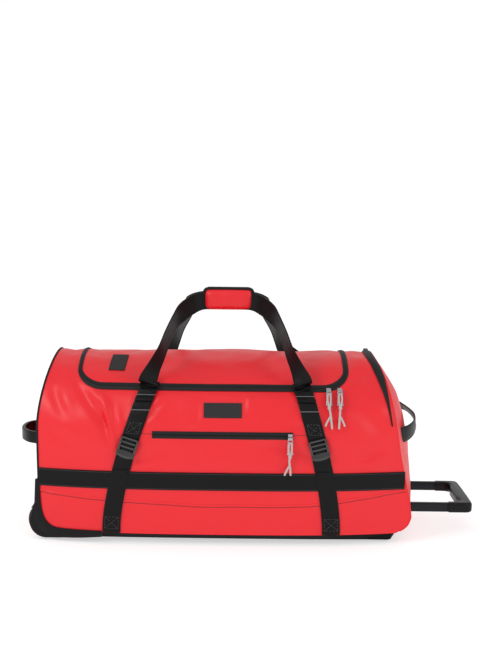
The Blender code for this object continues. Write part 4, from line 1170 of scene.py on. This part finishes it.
class DUFFEL_OT_pullers(bpy.types.Operator):
    """Make the cord pulls of the three visible sliders and finish the metal"""
    bl_idname = "duffel.pullers"
    bl_label = "Sliders and pulls"

    def execute(self, context):
        repaint(["main_slider_left", "main_slider_right", "pocket_slider"], "nickel")
        bm = bmesh.new()
        bm.from_mesh(NODES["end_slider"].data)
        bmesh.ops.transform(bm, matrix=NODES["end_slider"].matrix_world, verts=bm.verts)
        bmesh.ops.translate(bm, verts=bm.verts, vec=END_SLIDER_MOVE - SHIFT)
        make_piece("slider_end", bm, ("nickel",), "end_slider", ("end_slider",))
        for side, x, sway in (("left", 0.2215, 0.002), ("right", 0.2445, -0.001)):
            girth = FRONT_RUN - 0.007
            pivot = on_skin(x, girth) + skin_normal(x, girth) * 0.0082
            lean = Matrix.Rotation(-PULLER_SLOPE, 3, "X")
            down, out = lean @ Vector((0, 0, -1)), lean @ Vector((0, -1, 0))
            knot = pivot + down * (PULLER_LENGTH + 0.0034)
            route = smooth_route([knot, knot + down * 0.012 + Vector((sway, 0, 0)) + out * 0.001,
                                  knot + Vector((sway * 2, -0.012, -0.024)),
                                  knot + Vector((sway * 3, -0.015, -0.042))], 4)
            self.make_pull(f"main_{side}", f"main_puller_{side}", f"main_pull_cord_{side}",
                           pivot, lean, route, 1 if side == "right" else -1)
        place = on_skin(POCKET_RIGHT - 0.006, -girth_at(POCKET_Z)) + Vector((0, -0.0042, 0))
        pivot = place + Vector((0, -0.0070, -0.001))
        knot = pivot + Vector((0, 0, -PULLER_LENGTH - 0.0034))
        route = smooth_route([knot, knot + Vector((-0.001, 0, -0.012)), knot + Vector((0.001, 0, -0.026)),
                              knot + Vector((0.002, 0, -0.040))], 4)
        self.make_pull("pocket", "pocket_puller", "pocket_pull_cord", pivot, Matrix.Identity(3), route, -1)
        return {"FINISHED"}

    def make_pull(self, name, puller_node, cord_node, pivot, lean, route, lean_way):
        """A puller with its doubled cord, whose two ends part below the knot."""
        body = puller_node
        bm = bmesh.new()
        for low, high in (((-0.0050, -0.0008, -0.0060), (0.0050, 0.0008, 0.0010)),
                          ((-0.0056, -0.0007, -0.0330), (-0.0030, 0.0007, -0.0050)),
                          ((0.0030, -0.0007, -0.0330), (0.0056, 0.0007, -0.0050)),
                          ((-0.0064, -0.0009, -0.0360), (0.0064, 0.0009, -0.0315))):
            box(bm, low, high)
        bmesh.ops.transform(bm, matrix=Matrix.Translation(pivot) @ lean.to_4x4(), verts=bm.verts)
        make_piece(f"pull_{name}", bm, ("nickel",), body, (puller_node,), rounding=0.0006,
                   segments=2)
        turned = Matrix.Translation(pivot) @ lean.to_4x4()
        strands = []
        for way in (-1, 1):
            points = [Vector((way * 0.0016, -0.0024, -0.0090)), Vector((way * 0.0026, -0.0032, -0.0140)),
                      Vector((way * 0.0032, -0.0034, -0.0240)), Vector((way * 0.0016, -0.0032, -0.0350)),
                      Vector((way * 0.0004, -0.0010, -0.0390))]
            strands.append([turned @ p for p in smooth_route(points, 4)])
        for i, strand in enumerate(strands):
            make_piece(f"pull_strand_{name}_{i}", tube_mesh(strand, 0.0019, 8), ("braid",), body)
        cord = make_piece(f"pull_cord_{name}", tube_mesh(route, CORD_RADIUS, 10, end_scale=0.8),
                          ("braid",), body, (cord_node,))
        knot = bmesh.new()
        centre = route[0] + (route[1] - route[0]) * 0.3
        size = Matrix.Diagonal((0.0038, 0.0034, 0.0044, 1))
        bmesh.ops.create_uvsphere(knot, u_segments=16, v_segments=10, radius=1.0,
                                  matrix=Matrix.Translation(centre) @ size)
        tie = make_piece(f"pull_knot_{name}", knot, ("braid",), body)
        fork = route[-7]
        tail = smooth_route([fork, fork + Vector((lean_way * 0.004, -0.0010, -0.006)),
                             fork + Vector((lean_way * 0.0085, -0.0016, -0.015)),
                             fork + Vector((lean_way * 0.0105, -0.0016, -0.021))], 4)
        split = make_piece(f"pull_tail_{name}", tube_mesh(tail, 0.0021, 10, end_scale=0.8), ("braid",),
                           body)
        length = sum((b - a).length for a, b in zip(route, route[1:]))


# ---- mouldings, wheels and trolley ----
class DUFFEL_OT_base(bpy.types.Operator):
    """Finish the base tray and wheel housings, and turn the tyres and hubs"""
    bl_idname = "duffel.base"
    bl_label = "Base and wheels"

    def execute(self, context):
        # the base tray: black plastic, darkened further as painted shade
        repaint(["base_tray"], "black_painted_shade")
        repaint(["tube_bracket", "tube_collar"], "moulding")
        for name, side in SIDES.items():
            self.make_guard(name, side)
            self.make_housing(name, side)
        repaint(["axle_near", "axle_far", "wheel_bearing_near", "wheel_bearing_far"], "steel")
        repaint(["floor_board"], "board")
        for name, side in SIDES.items():
            hub = Vector((WHEEL_X, side * WHEEL_Y, WHEEL_R))
            half = WHEEL_W / 2
            tyre = [(0.0290, -half), (0.0350, -half), (0.0385, -half + 0.0022), (WHEEL_R, -half + 0.0060),
                    (WHEEL_R, half - 0.0060), (0.0385, half - 0.0022), (0.0350, half), (0.0290, half)]
            self.turn(f"tyre_tread_{name}", tyre, hub, "rubber", f"wheel_{name}", "rubber", f"tyre_{name}")
            rim = [(0.0114, -half + 0.002), (0.0150, -half + 0.002), (0.0170, -half + 0.0045),
                   (0.0240, -half + 0.0045), (0.0260, -half + 0.002), (0.0287, -half + 0.002),
                   (0.0287, half - 0.002), (0.0260, half - 0.002), (0.0240, half - 0.0045),
                   (0.0170, half - 0.0045), (0.0150, half - 0.002), (0.0114, half - 0.002)]
            self.turn(f"wheel_rim_{name}", rim, hub, "moulding", f"wheel_{name}", "black_plastic",
                      f"wheel_hub_{name}")
        return {"FINISHED"}

    def make_guard(self, name, side):
        """A curved guard that follows the bag's lower corner in front of the wheel housing."""
        stations = [(-0.3814, 0.136, 0.0060), (-0.3820, 0.110, 0.0070), (-0.3815, 0.088, 0.0090),
                    (-0.3795, 0.068, 0.0130), (-0.3745, 0.050, 0.0170), (-0.3650, 0.0360, 0.0190),
                    (-0.3500, 0.0275, 0.0180), (-0.3250, 0.0250, 0.0155), (-0.2900, 0.0242, 0.0130),
                    (-0.2480, 0.0240, 0.0090)]
        route = smooth_route([(x, z, 0.0) for x, z, _ in stations], 6)
        widths = [p.x for p in smooth_route([(w, 0.0, 0.0) for _, _, w in stations], 6)]
        count = len(route) - 1

        def place(u, v):
            i = round(v * count)
            ahead = (route[min(i + 1, count)] - route[max(i - 1, 0)]).normalized()
            out = Vector((-ahead.y, ahead.x, 0.0))
            out = out if out.x <= 0.0 and out.y <= 0.2 else -out
            spot = route[i] + out * ((widths[i] + 0.0045) * u - 0.0045)
            depth = -on_skin(spot.x, -girth_at(max(spot.y, SKIRT_Z))).y
            return Vector((spot.x, side * (depth + 0.0022 + 0.0016 * math.sin(math.pi * u)), spot.y))

        bm = mapped_grid(8, count, place, 0.02, 0.28)
        face_outwards(bm, lambda p: Vector((0, side, 0)))
        make_piece(f"corner_guard_{name}", bm, ("moulding",), "bag", (), 0.0240,
                   rounding=0.0012, segments=3)

    def make_housing(self, name, side):
        """Two cheeks beside the wheel, joined by a cover over it."""
        centre = Vector((WHEEL_X, 0.0, WHEEL_R))
        rim = [centre + Vector((math.cos(a), 0.0, math.sin(a))) * 0.0350
               for a in (math.radians(d) for d in range(155, 266, 10))]
        cheek = [Vector(p) for p in ((-0.3805, 0, 0.134), (-0.3850, 0, 0.133), (-0.3865, 0, 0.110),
                                     (-0.3900, 0, 0.088), (-0.3960, 0, 0.072))]
        cheek += rim
        cheek += [Vector(p) for p in ((-0.3400, 0, 0.0050), (-0.3000, 0, 0.0070), (-0.2500, 0, 0.0130),
                                      (-0.2440, 0, 0.0240), (-0.3300, 0, 0.0245), (-0.3600, 0, 0.0360),
                                      (-0.3720, 0, 0.0540), (-0.3785, 0, 0.0800))]
        cover = [centre + Vector((math.cos(a), 0.0, math.sin(a))) * r
                 for r, turns in ((0.0430, range(40, 141, 10)), (0.0405, range(140, 39, -10)))
                 for a in (math.radians(d) for d in turns)]
        bm = bmesh.new()
        for outline, low, high in ((cheek, 0.0975, 0.1055), (cheek, 0.1325, 0.1440),
                                   (cover, 0.1050, 0.1330)):
            face = bm.faces.new([bm.verts.new((p.x, side * low, p.z)) for p in outline])
            made = bmesh.ops.extrude_face_region(bm, geom=[face])["geom"]
            bmesh.ops.translate(bm, verts=[v for v in made if isinstance(v, bmesh.types.BMVert)],
                                vec=(0, side * (high - low), 0))
        bmesh.ops.recalc_face_normals(bm, faces=bm.faces)
        make_piece(f"wheel_cheeks_{name}", bm, ("moulding",), "bag",
                   (f"wheel_housing_{name}",), rounding=0.0014, segments=3)

    def turn(self, name, profile, hub, finish_name, body, slot, node):
        """Spin a closed profile of (radius, offset along the axle) into a ring."""
        bm = bmesh.new()
        verts = [bm.verts.new((r, y, 0.0)) for r, y in profile]
        edges = [bm.edges.new(pair) for pair in zip(verts, verts[1:] + verts[:1])]
        bmesh.ops.spin(bm, geom=verts + edges, cent=(0, 0, 0), axis=(0, 1, 0), steps=72, angle=math.tau,
                       use_merge=True)
        bmesh.ops.remove_doubles(bm, verts=bm.verts, dist=1e-6)
        bmesh.ops.recalc_face_normals(bm, faces=bm.faces)
        bmesh.ops.translate(bm, verts=bm.verts, vec=hub)
        make_piece(name, bm, (finish_name,), body, (node,), angle=32)


GRIP_HALF = 0.0112


class DUFFEL_OT_trolley(bpy.types.Operator):
    """Make the sliding tubes and the moulded grip, and finish the fixed tubes and the lock"""
    bl_idname = "duffel.trolley"
    bl_label = "Trolley"

    def execute(self, context):
        repaint(["outer_tube_near", "outer_tube_far"], "aluminium")
        repaint(["push_rod_near", "push_rod_far", "lock_pin_near", "lock_pin_far", "button_spring"],
                "steel")
        repaint(["grip_button"], "buckle_plastic")
        for name, side in SIDES.items():
            bm = bmesh.new()
            box(bm, (TUBE_START, side * TUBE_Y - 0.006, TUBE_Z - 0.010),
                (GRIP_START + 0.004, side * TUBE_Y + 0.006, TUBE_Z + 0.010))
            long_edges = [e for e in bm.edges if abs(e.verts[0].co.x - e.verts[1].co.x) > 0.1]
            bmesh.ops.bevel(bm, geom=long_edges, offset=0.0032, segments=5, affect="EDGES", profile=0.5,
                            material=-1)
            make_piece(f"sliding_tube_{name}", bm, ("aluminium",), "trolley",
                       (f"inner_tube_{name}",), angle=50)
        self.make_grip()
        return {"FINISHED"}

    def make_grip(self):
        """The U grip: an outline swept flat, thick at its corners, with rounded edges."""
        outer = [(GRIP_START, -0.0990), (0.5280, -0.0988), (0.5345, -0.0976), (0.5392, -0.0948),
                 (0.5422, -0.0900), (0.5432, -0.0830), (GRIP_END, -0.0400)]
        outer += [(x, -y) for x, y in reversed(outer)]
        inner = [(GRIP_START, 0.0810), (0.5060, 0.0805), (0.5140, 0.0785), (0.5190, 0.0740),
                 (0.5210, 0.0670), (0.5200, 0.0540), (0.5170, 0.0400), (0.5166, 0.0200)]
        inner += [(x, -y) for x, y in reversed(inner)]
        bm = bmesh.new()
        face = bm.faces.new([bm.verts.new((x, y, TUBE_Z - GRIP_HALF)) for x, y in outer + inner])
        made = bmesh.ops.extrude_face_region(bm, geom=[face])["geom"]
        bmesh.ops.translate(bm, verts=[v for v in made if isinstance(v, bmesh.types.BMVert)],
                            vec=(0, 0, 2 * GRIP_HALF))
        bmesh.ops.recalc_face_normals(bm, faces=bm.faces)
        rims = [e for e in bm.edges if abs(e.verts[0].co.z - e.verts[1].co.z) < 1e-6]
        bmesh.ops.bevel(bm, geom=rims, offset=0.0058, segments=5, affect="EDGES", profile=0.5, material=-1,
                        clamp_overlap=True)
        window = box_cutter((0.5330, -0.0165, TUBE_Z - 0.0060), (0.5600, 0.0165, TUBE_Z + 0.0060))
        make_piece("grip_moulding", bm, ("moulding",), "trolley", ("trolley_grip",),
                   angle=40, cutters=[window])


class DUFFEL_OT_labels(bpy.types.Operator):
    """Make the blank front patch and the blank label on the lid"""
    bl_idname = "duffel.labels"
    bl_label = "Labels"

    def execute(self, context):
        low, high = -girth_at(0.2754), -girth_at(0.3038)
        self.make_label("patch_front", (-0.0345, low), (0.0432, high), 0.0, "bag")
        low, high = -girth_at(0.3600), -girth_at(0.3835)
        self.make_label("label_lid", (-0.236, low), (-0.203, high), 0.004, "lid")
        return {"FINISHED"}

    def make_label(self, name, low, high, lean, body):
        """A thin blank label with a raised rim and a row of stitches inside it."""
        def spot(u, v, lift):
            x = low[0] + (high[0] - low[0]) * u + lean * v
            return skin(x, low[1] + (high[1] - low[1]) * v, lift)

        def place(u, v):
            edge = min(u, 1 - u, v * 0.45, (1 - v) * 0.45)
            return spot(u, v, 0.0014 + 0.0005 * (1.0 - ease(edge, 0.012, 0.03)))

        width, tall = high[0] - low[0], high[1] - low[1]
        bm = face_outwards(mapped_grid(40, 18, place, width, tall), from_axis)
        make_piece(name, bm, ("label_cloth",), body, (), 0.0012)
        rows = bmesh.new()
        corners = [(0.04, 0.09), (0.96, 0.09), (0.96, 0.91), (0.04, 0.91), (0.04, 0.09)]
        for (ua, va), (ub, vb) in zip(corners, corners[1:]):
            route = [spot(ua + (ub - ua) * i / 8, va + (vb - va) * i / 8, 0.0020) for i in range(9)]
            stitch_row(rows, route, 0.0026, 0.0014, 0.0003)
        make_piece(f"{name}_stitches", rows, ("thread",), body)


FLOOR_GLOW, ROOM_LIGHT = 0.56, 0.78


class DUFFEL_OT_stage(bpy.types.Operator):
    """Set up the pale floor, the soft lights and the camera"""
    bl_idname = "duffel.stage"
    bl_label = "Studio"

    def execute(self, context):
        scene = context.scene
        scene.view_settings.view_transform = "Standard"
        bm = bmesh.new()
        bmesh.ops.create_grid(bm, x_segments=1, y_segments=1, size=6.0)
        mesh = bpy.data.meshes.new("floor")
        bm.to_mesh(mesh)
        bm.free()
        floor = bpy.data.objects.new("floor", mesh)
        scene.collection.objects.link(floor)
        paper, _, shader = new_finish("sweep_lit_from_below", linear("D0D0D0"), 0.9, Specular_IOR_Level=0.1)
        shader.inputs["Emission Color"].default_value = (1.0, 1.0, 1.0, 1.0)
        shader.inputs["Emission Strength"].default_value = FLOOR_GLOW
        mesh.materials.append(paper)
        world = bpy.data.worlds.new("studio")
        world.use_nodes = True
        tree = world.node_tree
        back = tree.nodes["Background"]
        back.inputs["Color"].default_value = (1.0, 1.0, 1.0, 1.0)
        rays = add_node(tree, "ShaderNodeLightPath")
        level = add_node(tree, "ShaderNodeMapRange", {"To Min": ROOM_LIGHT, "To Max": 1.0},
                         [(rays.outputs["Is Camera Ray"], "Value")])
        tree.links.new(level.outputs["Result"], back.inputs["Strength"])
        scene.world = world
        lights = [("key", (-1.7, -2.0, 1.9), 0.7, 22.0), ("fill", (1.9, -1.6, 1.0), 0.8, 7.0)]
        for name, place, size, power in lights:
            data = bpy.data.lights.new(name, "AREA")
            data.size = size
            data.energy = power
            lamp = bpy.data.objects.new(name, data)
            lamp.location = place
            lamp.rotation_euler = (Vector((0, 0, 0.2)) - Vector(place)).to_track_quat("-Z", "Y").to_euler()
            scene.collection.objects.link(lamp)
        data = bpy.data.cameras.new("camera")
        data.lens = 64.19
        data.shift_x, data.shift_y = 0.0054, 0.1615
        camera = bpy.data.objects.new("camera", data)
        camera.location = (-0.0125, -2.50255, 0.74499)
        pitch = Matrix.Rotation(math.radians(90.0 - 12.0), 3, "X")
        camera.rotation_euler = (pitch @ Matrix.Rotation(math.radians(0.7), 3, "Z")).to_euler()
        scene.collection.objects.link(camera)
        scene.camera = camera
        return {"FINISHED"}


class DuffelSizes(bpy.types.PropertyGroup):
    fabric_wall: FloatProperty(name="Fabric wall", description="Film, padding and lining together",
                               default=0.0028, unit="LENGTH")
    piping: FloatProperty(name="Piping radius", description="Radius of the cord in the end seams",
                          default=0.0021, unit="LENGTH")
    stitch: FloatProperty(name="Stitch length", description="Length of one stitch of the webbing",
                          default=0.0034, unit="LENGTH")


class DuffelColours(bpy.types.PropertyGroup):
    tarpaulin: FloatVectorProperty(name="Tarpaulin", description="Colour of the coated fabric", size=4,
                                   subtype="COLOR", default=linear("E01823"), min=0.0, max=1.0)
    webbing: FloatVectorProperty(name="Webbing", description="Colour of the straps, band and handles",
                                 size=4, subtype="COLOR", default=linear("0B0B0C"), min=0.0, max=1.0)
    zip_tape: FloatVectorProperty(name="Zip tape", description="Colour of the zip tapes and bindings",
                                  size=4, subtype="COLOR", default=linear("161516"), min=0.0, max=1.0)
    moulding: FloatVectorProperty(name="Mouldings", description="Colour of the plastic pieces", size=4,
                                  subtype="COLOR", default=linear("0B0B0C"), min=0.0, max=1.0)
    metal: FloatVectorProperty(name="Metal", description="Colour of the sliders and pullers", size=4,
                               subtype="COLOR", default=linear("A5A5A8"), min=0.0, max=1.0)
    cord: FloatVectorProperty(name="Cord", description="Colour of the pull cords", size=4,
                              subtype="COLOR", default=linear("B2AFAC"), min=0.0, max=1.0)


OPERATORS = (DUFFEL_OT_stage, DUFFEL_OT_shell, DUFFEL_OT_lid, DUFFEL_OT_zips, DUFFEL_OT_straps,
             DUFFEL_OT_buckles, DUFFEL_OT_handles, DUFFEL_OT_end_handles, DUFFEL_OT_pullers,
             DUFFEL_OT_base, DUFFEL_OT_trolley, DUFFEL_OT_labels)


class DUFFEL_PT_panel(bpy.types.Panel):
    """Lists the pieces of the bag in the order they are made"""
    bl_idname = "DUFFEL_PT_panel"
    bl_label = "Rolling Duffel Bag"
    bl_space_type = "VIEW_3D"
    bl_region_type = "UI"
    bl_category = "Duffel"

    def draw(self, context):
        for entry in OPERATORS:
            self.layout.operator(entry.bl_idname)
        for group in (context.scene.duffel_sizes, context.scene.duffel_colours):
            for key in group.bl_rna.properties.keys():
                if key not in ("rna_type", "name"):
                    self.layout.prop(group, key)


CLASSES = (DuffelSizes, DuffelColours, *OPERATORS, DUFFEL_PT_panel)


def register():
    for entry in CLASSES:
        bpy.utils.register_class(entry)
    bpy.types.Scene.duffel_sizes = PointerProperty(type=DuffelSizes)
    bpy.types.Scene.duffel_colours = PointerProperty(type=DuffelColours)


def unregister():
    del bpy.types.Scene.duffel_colours
    del bpy.types.Scene.duffel_sizes
    for entry in reversed(CLASSES):
        bpy.utils.unregister_class(entry)


def main():
    register()
    for entry in OPERATORS:
        group, name = entry.bl_idname.split(".")
        getattr(getattr(bpy.ops, group), name)()


if __name__ == "__main__":
    main()
